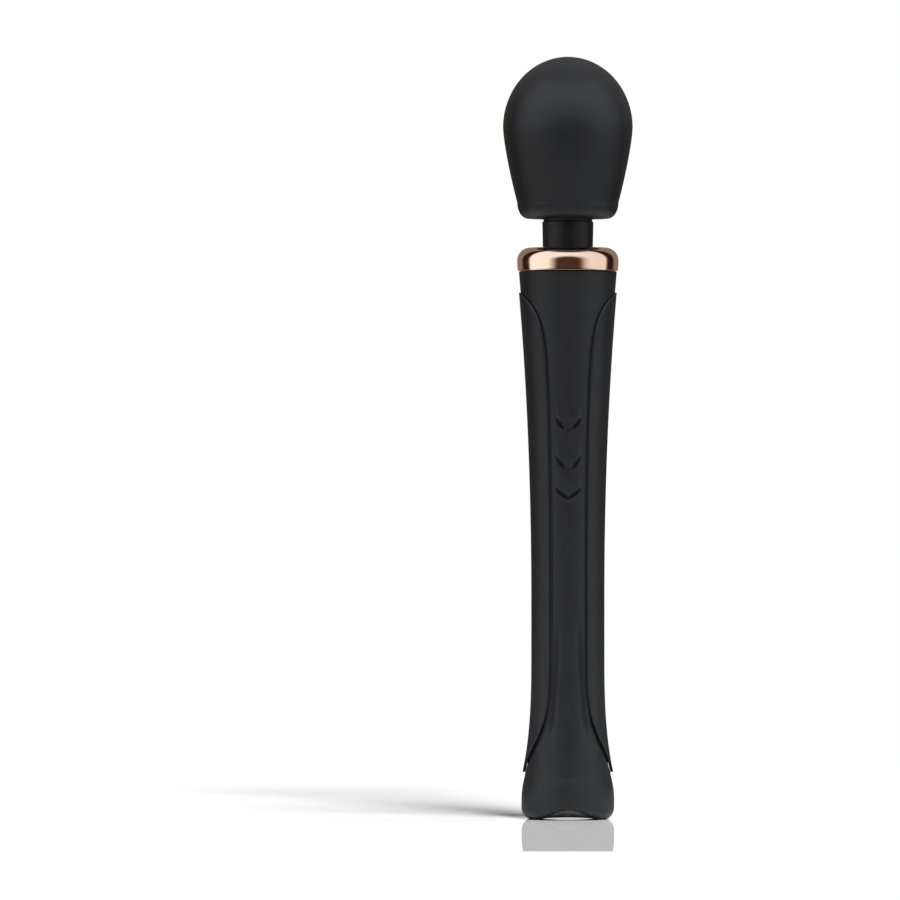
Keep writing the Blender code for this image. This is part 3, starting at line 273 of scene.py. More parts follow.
def rose_gold():
    """Polished rose-gold anodised metal with very fine turned lines."""
    material, tree, shader = new_material("polished_rose_gold")
    tint = ranged(tree, noise(tree, 90, 4), 0, 1, 0.3, 0.7)
    colour = mixed(tree, tint, (0.90, 0.66, 0.52), (0.95, 0.72, 0.58))
    tree.links.new(colour, shader.inputs["Base Color"])
    shader.inputs["Metallic"].default_value = 1.0
    haze = ranged(tree, noise(tree, 300, 5), 0.09, 0.14, 0.3, 0.7)
    tree.links.new(haze, shader.inputs["Roughness"])
    bumped(tree, shader, noise(tree, 60, 2, (1, 1, 70)), 0.004 * MM, 0.4)
    return material


def metal(name, colour, roughness, stretch=(1, 1, 12)):
    """Plated or turned metal: fine lines one way, uneven gloss and slight tarnish."""
    material, tree, shader = new_material(name)
    tarnish = ranged(tree, noise(tree, 160, 5), 0, 1, 0.35, 0.75)
    dull = tuple(0.78 * c for c in colour)
    tree.links.new(mixed(tree, tarnish, colour, dull), shader.inputs["Base Color"])
    shader.inputs["Metallic"].default_value = 1.0
    lines = noise(tree, 700, 4, stretch)
    tree.links.new(ranged(tree, lines, roughness - 0.08, roughness + 0.1), shader.inputs["Roughness"])
    bumped(tree, shader, lines, 0.01 * MM, 0.4)
    return material


def plastic(name, colour, roughness=0.45, grain=1600):
    """Moulded plastic with a spark-eroded grain and faint flow marks."""
    material, tree, shader = new_material(name)
    flow = ranged(tree, noise(tree, 70, 3, (1, 1, 0.3)), 0, 1, 0.35, 0.65)
    paler = tuple(min(1.0, 1.12 * c + 0.004) for c in colour)
    tree.links.new(mixed(tree, flow, colour, paler), shader.inputs["Base Color"])
    erosion = noise(tree, grain, 3)
    tree.links.new(ranged(tree, erosion, roughness - 0.06, roughness + 0.08), shader.inputs["Roughness"])
    bumped(tree, shader, erosion, 0.02 * MM, 0.5)
    return material


def circuit_board():
    """Green solder mask with paler copper tracks and tinned pads under it."""
    material, tree, shader = new_material("solder_mask")
    where = place_of(tree)
    layout = {"Vector": place_of(tree, (1, 0, 1)), "Scale": 260.0}
    tracks = add_node(tree, "ShaderNodeTexBrick", layout | {"Mortar Size": 0.04, "Mortar Smooth": 0.2})
    green = mixed(tree, tracks.outputs["Fac"], (0.012, 0.12, 0.05), (0.03, 0.21, 0.09))
    pads = add_node(tree, "ShaderNodeTexVoronoi", {"Vector": where, "Scale": 420.0})
    tinned = ranged(tree, pads.outputs["Distance"], 1.0, 0.0, 0.1, 0.14)
    tree.links.new(mixed(tree, tinned, green, (0.6, 0.6, 0.58)), shader.inputs["Base Color"])
    tree.links.new(ranged(tree, tinned, 0.42, 0.22), shader.inputs["Roughness"])
    bumped(tree, shader, tracks.outputs["Fac"], 0.03 * MM, 0.6)
    return material


def shrink_sleeve():
    """The battery cells' blue film, with faint wrinkles round them."""
    material, tree, shader = new_material("cell_sleeve")
    blue = mixed(tree, noise(tree, 200, 4), (0.03, 0.11, 0.30), (0.05, 0.18, 0.42))
    tree.links.new(blue, shader.inputs["Base Color"])
    wrinkles = noise(tree, 120, 4, (1, 1, 5))
    tree.links.new(ranged(tree, wrinkles, 0.22, 0.4), shader.inputs["Roughness"])
    bumped(tree, shader, wrinkles, 0.08 * MM, 0.5)
    return material


def insulation(name, colour):
    """Wire insulation, slightly wavy and scuffed."""
    material, tree, shader = new_material(name)
    scuff = ranged(tree, noise(tree, 500, 4), 0, 1, 0.45, 0.8)
    paler = tuple(min(1.0, 1.5 * c + 0.01) for c in colour)
    tree.links.new(mixed(tree, scuff, colour, paler), shader.inputs["Base Color"])
    tree.links.new(ranged(tree, scuff, 0.35, 0.55), shader.inputs["Roughness"])
    bumped(tree, shader, noise(tree, 300, 3), 0.04 * MM, 0.4)
    return material


SKIN_DARK, SKIN_LIGHT = (0.0070, 0.0075, 0.0088), (0.0089, 0.0095, 0.0111)
GRIP_DARK, GRIP_LIGHT = (0.0074, 0.0080, 0.0093), (0.0093, 0.0100, 0.0116)


def make_materials():
    """The material of each slot."""
    return {
        "soft_black": silicone("soft_black_silicone", SKIN_DARK, SKIN_LIGHT, 0.46),
        "grip_black": silicone("grip_silicone", GRIP_DARK, GRIP_LIGHT, 0.44),
        "rose_gold": rose_gold(),
        "end_cap_grey": plastic("end_cap_satin", (0.24, 0.24, 0.245), 0.4),
        "casing_plastic": plastic("casing_moulding", (0.045, 0.045, 0.05)),
        "white_plastic": plastic("white_moulding", (0.7, 0.7, 0.67)),
        "steel": metal("plated_steel", (0.56, 0.57, 0.59), 0.3),
        "motor_steel": metal("motor_can_steel", (0.62, 0.62, 0.60), 0.34),
        "brass": metal("sintered_brass", (0.70, 0.50, 0.22), 0.36, (1, 1, 1)),
        "gold_contact": metal("gold_plating", (0.88, 0.64, 0.27), 0.2, (1, 1, 1)),
        "magnet_grey": metal("sintered_magnet", (0.22, 0.22, 0.23), 0.45, (1, 1, 1)),
        "board_green": circuit_board(),
        "chip_black": plastic("chip_moulding", (0.02, 0.02, 0.022), 0.5, 2600),
        "cell_blue": shrink_sleeve(),
        "seal_rubber": silicone("motor_rubber", (0.012, 0.012, 0.012), (0.02, 0.02, 0.02), 0.62),
        "wire_red": insulation("red_insulation", (0.45, 0.02, 0.02)),
        "wire_black": insulation("black_insulation", (0.018, 0.018, 0.018)),
    }


# ---------------------------------------------------------------- mesh helpers
SMOOTH_ANGLE = 40
# depth below the face at which the shade painted into a hollow is as dark as it gets
SKIN_HOLLOW = 2.2 * MM
GRIP_HOLLOW = 3.0 * MM
BUTTON_HOLLOW = 4.0 * MM
# shade is painted on the grips towards their lower tips, between these heights above the tips
FOOT_SHADE_START, FOOT_SHADE_FULL = 10 * MM, 2 * MM


def shade_hollows(obj, face_radius, full_depth, foot=0.0):
    """Marks how far each point lies below the face, for the material, which paints shade into the
    hollows.

    Where the height of a foot is given, shade is also painted just above it.
    """
    marks = obj.data.attributes.new("hollow_shade", "FLOAT", "POINT")
    for vert, mark in zip(obj.data.vertices, marks.data):
        depth = face_radius(vert.co.z) - vert.co.xy.length
        mark.value = smooth_step(0.0, full_depth, depth)
        if foot:
            near = smooth_step(foot + FOOT_SHADE_START, foot + FOOT_SHADE_FULL, vert.co.z)
            mark.value = max(mark.value, near)


def add_mesh(name, bm, slot):
    """An object with this mesh, welded and smooth except at its sharp edges."""
    bmesh.ops.remove_doubles(bm, verts=bm.verts, dist=0.0005 * MM)
    loose = [e for e in bm.edges if not e.link_faces]
    bmesh.ops.delete(bm, geom=loose, context="EDGES")
    bmesh.ops.recalc_face_normals(bm, faces=bm.faces)
    mesh = bpy.data.meshes.new(name)
    bm.to_mesh(mesh)
    bm.free()
    mesh.shade_smooth()
    mesh.set_sharp_from_angle(angle=radians(SMOOTH_ANGLE))
    obj = bpy.data.objects.new(name, mesh)
    bpy.context.scene.collection.objects.link(obj)
    if slot:
        mesh.materials.append(MATERIALS[slot])
    return obj


def finish_piece(obj, nodes, body):
    """Hides the nodes that a finished piece replaces and attaches the piece to its body."""
    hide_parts(*nodes)
    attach(obj, body)


def spread(low, high, steps):
    """Evenly spaced values from low to high, both included."""
    return [low + (high - low) * i / steps for i in range(steps + 1)]


def arc(centre, radius_r, radius_z, start, end, steps):
    """Outline points on an ellipse arc about centre, start and end in degrees from +r."""
    turns = [radians(a) for a in spread(start, end, steps)]
    return [(centre[0] + radius_r * cos(a), centre[1] + radius_z * sin(a)) for a in turns]


def turned(name, outline, slot, steps):
    """A solid turned about Z from a closed outline of (radius, height) points."""
    bm = bmesh.new()
    loop = [bm.verts.new((r, 0, z)) for r, z in outline]
    edges = [bm.edges.new((a, b)) for a, b in zip(loop, loop[1:] + loop[:1])]
    bmesh.ops.spin(
        bm,
        geom=loop + edges,
        cent=(0, 0, 0),
        axis=(0, 0, 1),
        angle=2 * pi,
        steps=steps,
        use_merge=True,
    )
    return add_mesh(name, bm, slot)


def join_rings(bm, rings, wrap=False):
    """Faces between each closed ring of vertices and the next."""
    for ring, other in zip(rings, rings[1:] + rings[:1] if wrap else rings[1:]):
        for i in range(len(ring)):
            j = (i + 1) % len(ring)
            bm.faces.new((ring[i], ring[j], other[j], other[i]))


def tube_of_rings(name, rings, slot):
    """A solid whose surface runs through all the rings and back to the first, round a hole."""
    bm = bmesh.new()
    join_rings(bm, [[bm.verts.new(p) for p in ring] for ring in rings], wrap=True)
    return add_mesh(name, bm, slot)


def bar_of_sections(name, sections, slot):
    """A solid through a row of closed sections, capped at both ends."""
    bm = bmesh.new()
    rings = [[bm.verts.new(p) for p in section] for section in sections]
    join_rings(bm, rings)
    bm.faces.new(rings[0])
    bm.faces.new(rings[-1])
    bmesh.ops.triangulate(bm, faces=[f for f in bm.faces if len(f.verts) > 4])
    return add_mesh(name, bm, slot)


def wire_along(name, points, radius, slot, round_steps=10):
    """A round wire along the points."""
    points = [Vector(p) for p in points]
    sections = []
    for i, point in enumerate(points):
        along = points[min(i + 1, len(points) - 1)] - points[max(i - 1, 0)]
        turn = along.to_track_quat("Z", "Y")
        ring = [Vector((cos(a), sin(a), 0)) for a in spread(0, 2 * pi, round_steps)[:-1]]
        sections.append([point + turn @ (radius * p) for p in ring])
    return bar_of_sections(name, sections, slot)


def at(angle, radius, z):
    """A point at this angle from the front (-Y), turning towards +X."""
    return Vector((radius * sin(angle), -radius * cos(angle), z))


def cut(obj, tool):
    """Cuts tool out of obj at once and removes the tool."""
    modifier = obj.modifiers.new("cut", "BOOLEAN")
    modifier.operation = "DIFFERENCE"
    modifier.solver = "EXACT"
    modifier.object = tool
    bpy.context.view_layer.update()
    seen = obj.evaluated_get(bpy.context.evaluated_depsgraph_get())
    mesh = bpy.data.meshes.new_from_object(seen)
    obj.modifiers.clear()
    obj.data = mesh
    mesh.set_sharp_from_angle(angle=radians(SMOOTH_ANGLE))
    bpy.data.objects.remove(tool)


# ---------------------------------------------------------------- outlines of the handle
def flare(start, end, z, power):
    """0 until start, then a power curve to 1 at end."""
    return max(0.0, (z - start) / (end - start)) ** power


def envelope_radius(z):
    """The side silhouette: the outer face of the grips."""
    top = GRIP_TOP_FLARE * flare(WAIST_TOP, GRIP_TOP, z, TOP_FLARE_POWER)
    base = GRIP_BASE_FLARE * flare(WAIST_BOTTOM, GRIP_BOTTOM, z, GRIP_BASE_POWER)
    return WAIST_RADIUS + top + base


def body_radius(z):
    """The face of the front and back strips, the top band and the barrel-shaped base."""
    if z < BASE_TOP:
        drop = (BASE_RADIUS - BASE_NECK_RADIUS) * ((z - BASE_WIDEST) / (BASE_TOP - BASE_WIDEST)) ** 2
        return BASE_RADIUS - (drop if z > BASE_WIDEST else 0.0)
    top = BODY_TOP_FLARE * flare(WAIST_TOP, GRIP_TOP, z, TOP_FLARE_POWER)
    base = (BASE_NECK_RADIUS - BODY_WAIST_RADIUS) * flare(WAIST_BOTTOM, BASE_TOP, z, BODY_BASE_POWER)
    return BODY_WAIST_RADIUS + top + base


def strip_half_angle(z):
    """Half the angle that the front strip, between the two grips, takes at this height."""
    above, below = max(0.0, GRIP_TOP - z), max(0.0, z - GRIP_BOTTOM)
    sweep = exp(-((above / TOP_SWEEP) ** TOP_SWEEP_POWER))
    sweep += exp(-((below / BASE_SWEEP) ** BASE_SWEEP_POWER))
    widest = pi / 2 - TIP_HALF_ANGLE
    return STRIP_HALF_ANGLE + (widest - STRIP_HALF_ANGLE) * min(1.0, sweep)


def saddle(x, y):
    """Height of the underside: it arches from left to right, and most at the front and back rims."""
    if abs(x) >= ARCH_HALF_WIDTH:
        return 0.0
    across = cos(pi * x / (2 * ARCH_HALF_WIDTH)) ** ARCH_POWER
    across = max(0.0, (across - FOOT_SHARE) / (1 - FOOT_SHARE))
    outward = min(1.0, (y / SKIN_HOLE_RADIUS) ** 2)
    return across * (ARCH_MIDDLE + (ARCH_FRONT - ARCH_MIDDLE) * outward)


def on_saddle(x, y, z):
    """Lifts a point of the base with the saddle: fully at the floor, not at all at the base's top."""
    return Vector((x, y, z + saddle(x, y) * max(0.0, 1 - z / BASE_TOP)))


def smooth_step(low, high, value):
    """0 at low and 1 at high, with a soft start and end."""
    share = min(1.0, max(0.0, (value - low) / (high - low)))
    return share * share * (3 - 2 * share)


def quarter_round(distance, radius):
    """How far a rounded edge has dropped at this distance from the edge's end."""
    left = max(0.0, radius - distance)
    return radius - sqrt(radius * radius - left * left)


# ---------------------------------------------------------------- handle skin
CREASE_TOP = 90 * MM
CREASE_BOTTOM = 32 * MM
CREASE_FULL = (44 * MM, 74 * MM)
CREASE_DEPTH = 0.8 * MM
CREASE_WIDTH = 1.0 * MM
CREASE_ASIDE = 4.3 * MM
CREASE_OPENING = 3.9 * MM
CREASE_POWER = 1.4
POCKET_RAMP = 0.6 * MM
POCKET_END = 0.2 * MM
POCKET_GAP = 0.3 * MM
STRIP_LEAN = 0.08 * MM  # how far the strip's side leans out on its way down to the groove's floor
GROOVE_STOP = 0.12 * MM  # the groove's floor ends this far short of the grip
POCKET_STEP = 0.06 * MM  # width of the step from the groove's floor down to the pocket's
STRIP_COLUMNS = 40
ROUND_COLUMNS = 6
GROOVE_COLUMNS = 3
POCKET_COLUMNS = 14
TIP_REACH = 26 * MM
TIP_ROWS = 44
TIP_POWER = 1.8
GRIP_ROWS = 150
TRENCH_ROWS = 32
POCKET_TOP_ROWS = tuple(d * MM for d in (0.4, 0.2, 0.1))
POCKET_BASE_ROWS = tuple(d * MM for d in (0.1, 0.2, 0.4, 1.0, 1.6))
TOP_RIM = 0.5 * MM
HOLE_RIM = 0.3 * MM
SKIN_INSIDE_HEIGHTS = tuple(z * MM for z in (9.4, 15, 22, 32, 48, 75, 120, 165, 205))


def crease(x, z):
    """Two soft creases that run down the front strip and open towards the base."""
    low, high = CREASE_FULL
    fade = smooth_step(CREASE_BOTTOM, low, z) * (1 - smooth_step(high, CREASE_TOP, z))
    down = max(0.0, (CREASE_TOP - z) / (CREASE_TOP - CREASE_BOTTOM))
    middle = CREASE_ASIDE + CREASE_OPENING * down**CREASE_POWER
    return CREASE_DEPTH * fade * exp(-(((abs(x) - middle) / CREASE_WIDTH) ** 2))


def pocket_open(z):
    """1 where there is a pocket for a grip, 0 above and below the grips."""
    inside = smooth_step(0, POCKET_RAMP, z - GRIP_BOTTOM + POCKET_END)
    return inside * smooth_step(0, POCKET_RAMP, GRIP_TOP + POCKET_END - z)


def trench(x, z, index):
    """Depth of the soft valley just below a V edge: deepest half-way along each arm of the V."""
    below = (chevron_edge(x, index) - z) / TRENCH_WIDTH
    if not 0 <= below <= 1:
        return 0.0
    share = abs(x) / BUTTON_HALF_WIDTH
    inner = smooth_step(*(TRENCH_START if index else LOWEST_TRENCH_START), share)
    along = inner * (1 - smooth_step(*TRENCH_STOP, share))
    return TRENCH_DEPTH * along * (1 - smooth_step(TRENCH_FLAT_SHARE, 1.0, below))


def groove_end(z):
    """The angle where a grip starts: its groove is a hairline at the top and widest at the bottom."""
    width = GROOVE_TOP + (GROOVE_MIDDLE - GROOVE_TOP) * smooth_step(0, GROOVE_TOP_FADE, GRIP_TOP - z)
    low = 1 - smooth_step(*GROOVE_BASE_FADE, z - GRIP_BOTTOM)
    width += (GROOVE_BOTTOM - GROOVE_MIDDLE) * low
    start = strip_half_angle(z)
    return min(start + width / envelope_radius(z), pi / 2 - GRIP_LEAST_SHARE * (pi / 2 - start))


def quarter_columns(z):
    """(angle, radius) from the middle of the strip to the middle of the pocket."""
    half, body = strip_half_angle(z), body_radius(z)
    bottom = envelope_radius(z) - GRIP_WALL - POCKET_GAP
    depth = (body - bottom) * pocket_open(z)
    share = min(1.0, depth / STRIP_EDGE_ROUND)
    edge = STRIP_EDGE_ROUND / body
    found = [(a, body) for a in spread(0, half - edge, STRIP_COLUMNS)]
    for i in range(1, ROUND_COLUMNS + 1):
        left = STRIP_EDGE_ROUND * (1 - i / ROUND_COLUMNS) ** 1.5
        found.append((half - left / body, body - share * quarter_round(left, STRIP_EDGE_ROUND)))
    foot, wall = half + STRIP_LEAN / body, groove_end(z) - GROOVE_STOP / body
    near_tip = 1 - smooth_step(*GROOVE_TIP_FADE, z - GRIP_BOTTOM)
    shallow = min(depth, GROOVE_DEPTH + GROOVE_TIP_DEPTH * near_tip)
    found += [(a, body - shallow) for a in spread(foot, max(foot, wall), GROOVE_COLUMNS)]
    under = max(foot, wall) + POCKET_STEP / body
    found += [(a, body - depth) for a in spread(under, pi / 2, POCKET_COLUMNS)]
    return found


def skin_outer_ring(z):
    """One ring round the skin's outer face, with the grips' pockets, the creases and the lowest V."""
    quarter = quarter_columns(z)
    right_front = [(a, r - crease(r * sin(a), z) - trench(r * sin(a), z, 0)) for a, r in quarter]
    right_back = [(pi - a, r) for a, r in reversed(quarter[:-1])]
    left_back = [(pi + a, r) for a, r in quarter[1:]]
    left_front = [(2 * pi - a, r) for a, r in reversed(right_front[1:-1])]
    ring = [at(a, r, z) for a, r in right_front + right_back + left_back + left_front]
    return [on_saddle(*p) if z < BASE_TOP else p for p in ring]


def skin_round_ring(radius, z, lifted=False):
    """A round ring with the same columns as the skin's ring at the grips' tips."""
    ring = [Vector((p.x, p.y, 0)).normalized() * radius for p in skin_outer_ring(GRIP_TOP + MM)]
    return [on_saddle(p.x, p.y, z) if lifted else Vector((p.x, p.y, z)) for p in ring]


def floor_edge_ring(turn):
    """One ring round the bottom edge, which is full at the sides and tight at the front and back."""
    ring = []
    for p in skin_round_ring(1.0, 0.0):
        sideways = p.x**2
        reach = FRONT_EDGE_REACH + (SIDE_EDGE_REACH - FRONT_EDGE_REACH) * sideways
        height = FRONT_EDGE_HEIGHT + (SIDE_EDGE_HEIGHT - FRONT_EDGE_HEIGHT) * sideways
        radius = BASE_RADIUS - reach * (1 - cos(turn))
        ring.append(on_saddle(p.x * radius, p.y * radius, height * (1 - sin(turn))))
    return ring


def grip_heights():
    """Heights for rows of points, close together near the grips' pointed tips."""
    near = [TIP_REACH * (i / TIP_ROWS) ** TIP_POWER for i in range(TIP_ROWS + 1)]
    down = [GRIP_TOP - d for d in near]
    up = [GRIP_BOTTOM + d for d in reversed(near)]
    return down + spread(down[-1], up[0], GRIP_ROWS)[1:-1] + up


def skin_heights():
    """The grips' heights, with more rows just below the lowest button."""
    apex, depth = BUTTON_EDGES[0]
    low, high = apex - 2.5 * MM, apex + depth + MM
    kept = [z for z in grip_heights() if not low <= z <= high]
    return sorted(kept + spread(low, high, TRENCH_ROWS), reverse=True)


def handle_skin():
    """The one-piece silicone skin: strips, pockets for the grips, creases and the arched base."""
    rim, edge = TOP_RIM, HANDLE_TOP - TOP_RIM
    rings = [
        skin_round_ring(body_radius(HANDLE_TOP) - rim + rim * sin(a), edge + rim * cos(a))
        for a in spread(0, pi / 2, 5)[:-1]
    ]
    rings += [skin_outer_ring(z) for z in spread(edge, GRIP_TOP + MM, 8)]
    rings += [skin_outer_ring(GRIP_TOP + d) for d in POCKET_TOP_ROWS]
    rings += [skin_outer_ring(z) for z in skin_heights()]
    rings += [skin_outer_ring(GRIP_BOTTOM - d) for d in POCKET_BASE_ROWS]
    rings += [skin_outer_ring(z) for z in spread(BASE_TOP, SIDE_EDGE_HEIGHT + 2 * MM, 12)]
    rings += [floor_edge_ring(turn) for turn in spread(0, pi / 2, 12)]
    rings.append(skin_round_ring(SKIN_HOLE_RADIUS + HOLE_RIM, 0, lifted=True))
    rings.append(skin_round_ring(SKIN_HOLE_RADIUS, HOLE_RIM, lifted=True))
    rings.append(skin_round_ring(SKIN_HOLE_RADIUS, CAP_TOP))
    for z in (CAP_TOP, *SKIN_INSIDE_HEIGHTS, HANDLE_TOP):
        rings.append(skin_round_ring(body_radius(z) - SKIN_WALL, z))
    skin = tube_of_rings("skin", rings, "soft_black")
    cut(skin, button_window())
    shade_hollows(skin, body_radius, SKIN_HOLLOW)
    finish_piece(skin, ["handle_skin"], "handle")


# ---------------------------------------------------------------- grips
GRIP_ROUND_COLUMNS = 6
GRIP_COLUMNS = 16


def grip(name, side):
    """A leaf-shaped grip with rounded edges; side is +1 on the right and -1 on the left."""
    sections = []
    for z in grip_heights()[2:-2]:
        outer = envelope_radius(z)
        low = groove_end(z)
        half_width = (pi / 2 - low) * outer
        rounding = min(GRIP_EDGE_ROUND, 0.6 * half_width)
        steps = range(GRIP_ROUND_COLUMNS + 1)
        offsets = [rounding * (i / GRIP_ROUND_COLUMNS) ** 1.5 for i in steps]
        offsets += spread(rounding, half_width, GRIP_COLUMNS)[1:]
        face = [(low + s / outer, outer - quarter_round(s, rounding)) for s in offsets]
        face += [(pi - a, r) for a, r in reversed(face[:-1])]
        back = [(a, envelope_radius(z) - GRIP_WALL) for a, _ in face]
        sections.append([at(side * a, r, z) for a, r in face + back[::-1]])
    piece = bar_of_sections(f"{name}_panel", sections, "grip_black")
    # paints shade into the grip's hollows and towards its lower tip
    shade_hollows(piece, envelope_radius, GRIP_HOLLOW, GRIP_BOTTOM)
    finish_piece(piece, [name], "handle")


# ---------------------------------------------------------------- buttons
def chevron_edge(x, index):
    """Height of one of the V-shaped edges, whose apexes point down, counted from the lowest."""
    apex, depth = BUTTON_EDGES[index]
    return apex + depth * abs(x) / BUTTON_HALF_WIDTH


def button_window():
    """A cutter shaped like the three stacked chevrons, through the front strip."""
    half, top = BUTTON_HALF_WIDTH + BUTTON_GAP, len(BUTTON_NAMES)
    outline = [(x, chevron_edge(x, 0) - BUTTON_GAP) for x in (-half, 0, half)]
    outline += [(x, chevron_edge(x, top)) for x in (half, 0, -half)]
    bm = bmesh.new()
    face = bm.faces.new([bm.verts.new((x, WINDOW_FRONT, z)) for x, z in outline])
    moved = bmesh.ops.extrude_face_region(bm, geom=[face])["geom"]
    verts = [v for v in moved if isinstance(v, bmesh.types.BMVert)]
    bmesh.ops.translate(bm, vec=(0, WINDOW_DEPTH, 0), verts=verts)
    bmesh.ops.triangulate(bm, faces=bm.faces)
    return add_mesh("button_window", bm, None)


def edge_spread(count):
    """Shares from 0 to 1, closer together towards both ends."""
    return [0.5 - 0.5 * cos(pi * i / count) for i in range(count + 1)]


def button(label, index):
    """A chevron pad: it swells to a V-shaped lip below and dips into a valley at its top edge."""
    half, sections = BUTTON_HALF_WIDTH, []
    for share in edge_spread(BUTTON_ROWS):
        face, back = [], []
        for across in edge_spread(BUTTON_COLUMNS):
            x = half * (2 * across - 1)
            low, high = chevron_edge(x, index), chevron_edge(x, index + 1) - BUTTON_GAP
            z = low + (high - low) * share
            swell = max(0.0, 1 - (z - low) / SWELL_REACH)
            side = 1 - smooth_step(BUTTON_SIDE_FADE, 1.0, abs(x) / half)
            lip = BUTTON_LIP * swell**2 * side
            rounding = BUTTON_EDGE_DROP * quarter_round(z - low, BUTTON_EDGE_ROUND) * side
            dip = trench(x, z, index + 1) if index + 1 < len(BUTTON_NAMES) else 0.0
            proud = body_radius(z) + lip - rounding - dip
            face.append(Vector((x, -sqrt(proud**2 - x**2), z)))
            back.append(Vector((x, -sqrt((body_radius(z) - BUTTON_WALL) ** 2 - x**2), z)))
        sections.append(face + back[::-1])
    piece = bar_of_sections(f"{label}_pad", sections, "soft_black")
    shade_hollows(piece, body_radius, BUTTON_HOLLOW)
    finish_piece(piece, [f"{label}_button"], f"{label}_key")


# ---------------------------------------------------------------- end cap
CONTACT_CLEARANCE = 0.1 * MM
SCREW_CLEARANCE = 0.2 * MM
SCREW_RECESS = 2.2 * MM


def end_cap():
    """The satin disc under the base, which follows the saddle, with its contacts and screws let in."""
    steps, rings = 96, 14
    angles = spread(0, 2 * pi, steps)[:-1]
    bm = bmesh.new()
    loops = []
    for k in range(1, rings + 1):
        loops.append([bm.verts.new(on_saddle(*at(a, CAP_RADIUS * k / rings, 0))) for a in angles])
    loops.append([bm.verts.new(at(a, CAP_RADIUS, CAP_TOP)) for a in angles])
    join_rings(bm, loops)
    centre = bm.verts.new(on_saddle(0, 0, 0))
    for i in range(steps):
        bm.faces.new((centre, loops[0][i], loops[0][(i + 1) % steps]))
    bm.faces.new(loops[-1])
    bmesh.ops.triangulate(bm, faces=[f for f in bm.faces if len(f.verts) > 4])
    cap = add_mesh("underside", bm, "end_cap_grey")
    for name in ("charging_contact_left", "charging_contact_right"):
        cut_round(cap, name, CONTACT_CLEARANCE, CAP_TOP + MM)
    for name in ("end_cap_screw_front", "end_cap_screw_rear"):
        cut_round(cap, name, SCREW_CLEARANCE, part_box(name)[0][2] + SCREW_RECESS)
    finish_piece(cap, ["end_cap"], "handle")


def cut_round(obj, name, clearance, top):
    """Cuts a round hole from below for the named piece."""
    low, high = (Vector(corner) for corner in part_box(name))
    centre = (low + high) / 2
    radius = (high.x - low.x) / 2 + clearance
    bm = bmesh.new()
    depth = top + MM
    size = {"radius1": radius, "radius2": radius, "depth": depth}
    bmesh.ops.create_cone(bm, cap_ends=True, segments=40, **size)
    bmesh.ops.translate(bm, vec=(centre.x, centre.y, top - depth / 2), verts=bm.verts)
    cut(obj, add_mesh(f"{name}_hole", bm, None))


# ---------------------------------------------------------------- collar and neck
def collar():
    """The polished ring: upright sides, a rounded shoulder and a lip round the neck."""
    opening, lip = 13.7 * MM, 0.8 * MM
    shoulder, bulge, foot = 5.6 * MM, 0.25 * MM, 0.1 * MM
    inner, under_lip = 17.5 * MM, 245.8 * MM
    outline = arc((COLLAR_RADIUS - bulge - foot, COLLAR_BOTTOM + foot), foot, foot, -90, 0, 5)
    start, side = COLLAR_BOTTOM + foot, COLLAR_TOP - shoulder - COLLAR_BOTTOM - foot
    outline += [(COLLAR_RADIUS - bulge * (1 - t) ** 2, start + side * t) for t in spread(0, 1, 6)]
    outline += arc((COLLAR_RADIUS - shoulder, COLLAR_TOP - shoulder), shoulder, shoulder, 0, 90, 20)[1:]
    outline += arc((opening + lip, COLLAR_TOP - lip), lip, lip, 90, 180, 8)
    outline += [(opening, under_lip), (inner, under_lip), (inner, COLLAR_BOTTOM)]
    ring = turned("collar_polished", outline, "rose_gold", 160)
    finish_piece(ring, ["collar_ring"], "handle")


def neck_part(name, bottom, top, radii, bodies, start, end):
    """One half of the flexible sleeve; radii are (height, radius)."""
    outline = [(NECK_INNER_RADIUS, bottom), *[(r, z) for z, r in radii], (NECK_INNER_RADIUS, top)]
    outline += [(NECK_INNER_RADIUS, z) for z in reversed(spread(bottom, top, 12)[1:-1])]
    part = turned(name, outline, "soft_black", 96)
    bend(part, "neck_sleeve")


def bend(piece, node):
    """Hides the CAD node that a piece stands in for and bakes the piece's placement into its mesh."""
    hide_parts(node)
    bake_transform(piece)


def neck():
    """The silicone sleeve, spring and lead of the neck, each in two halves that meet in the middle."""
    lower, upper = ("handle", "neck_link"), ("neck_link", "head")
    neck_sleeve(lower, upper)
    neck_springs(lower, upper)
    neck_leads(lower, upper)


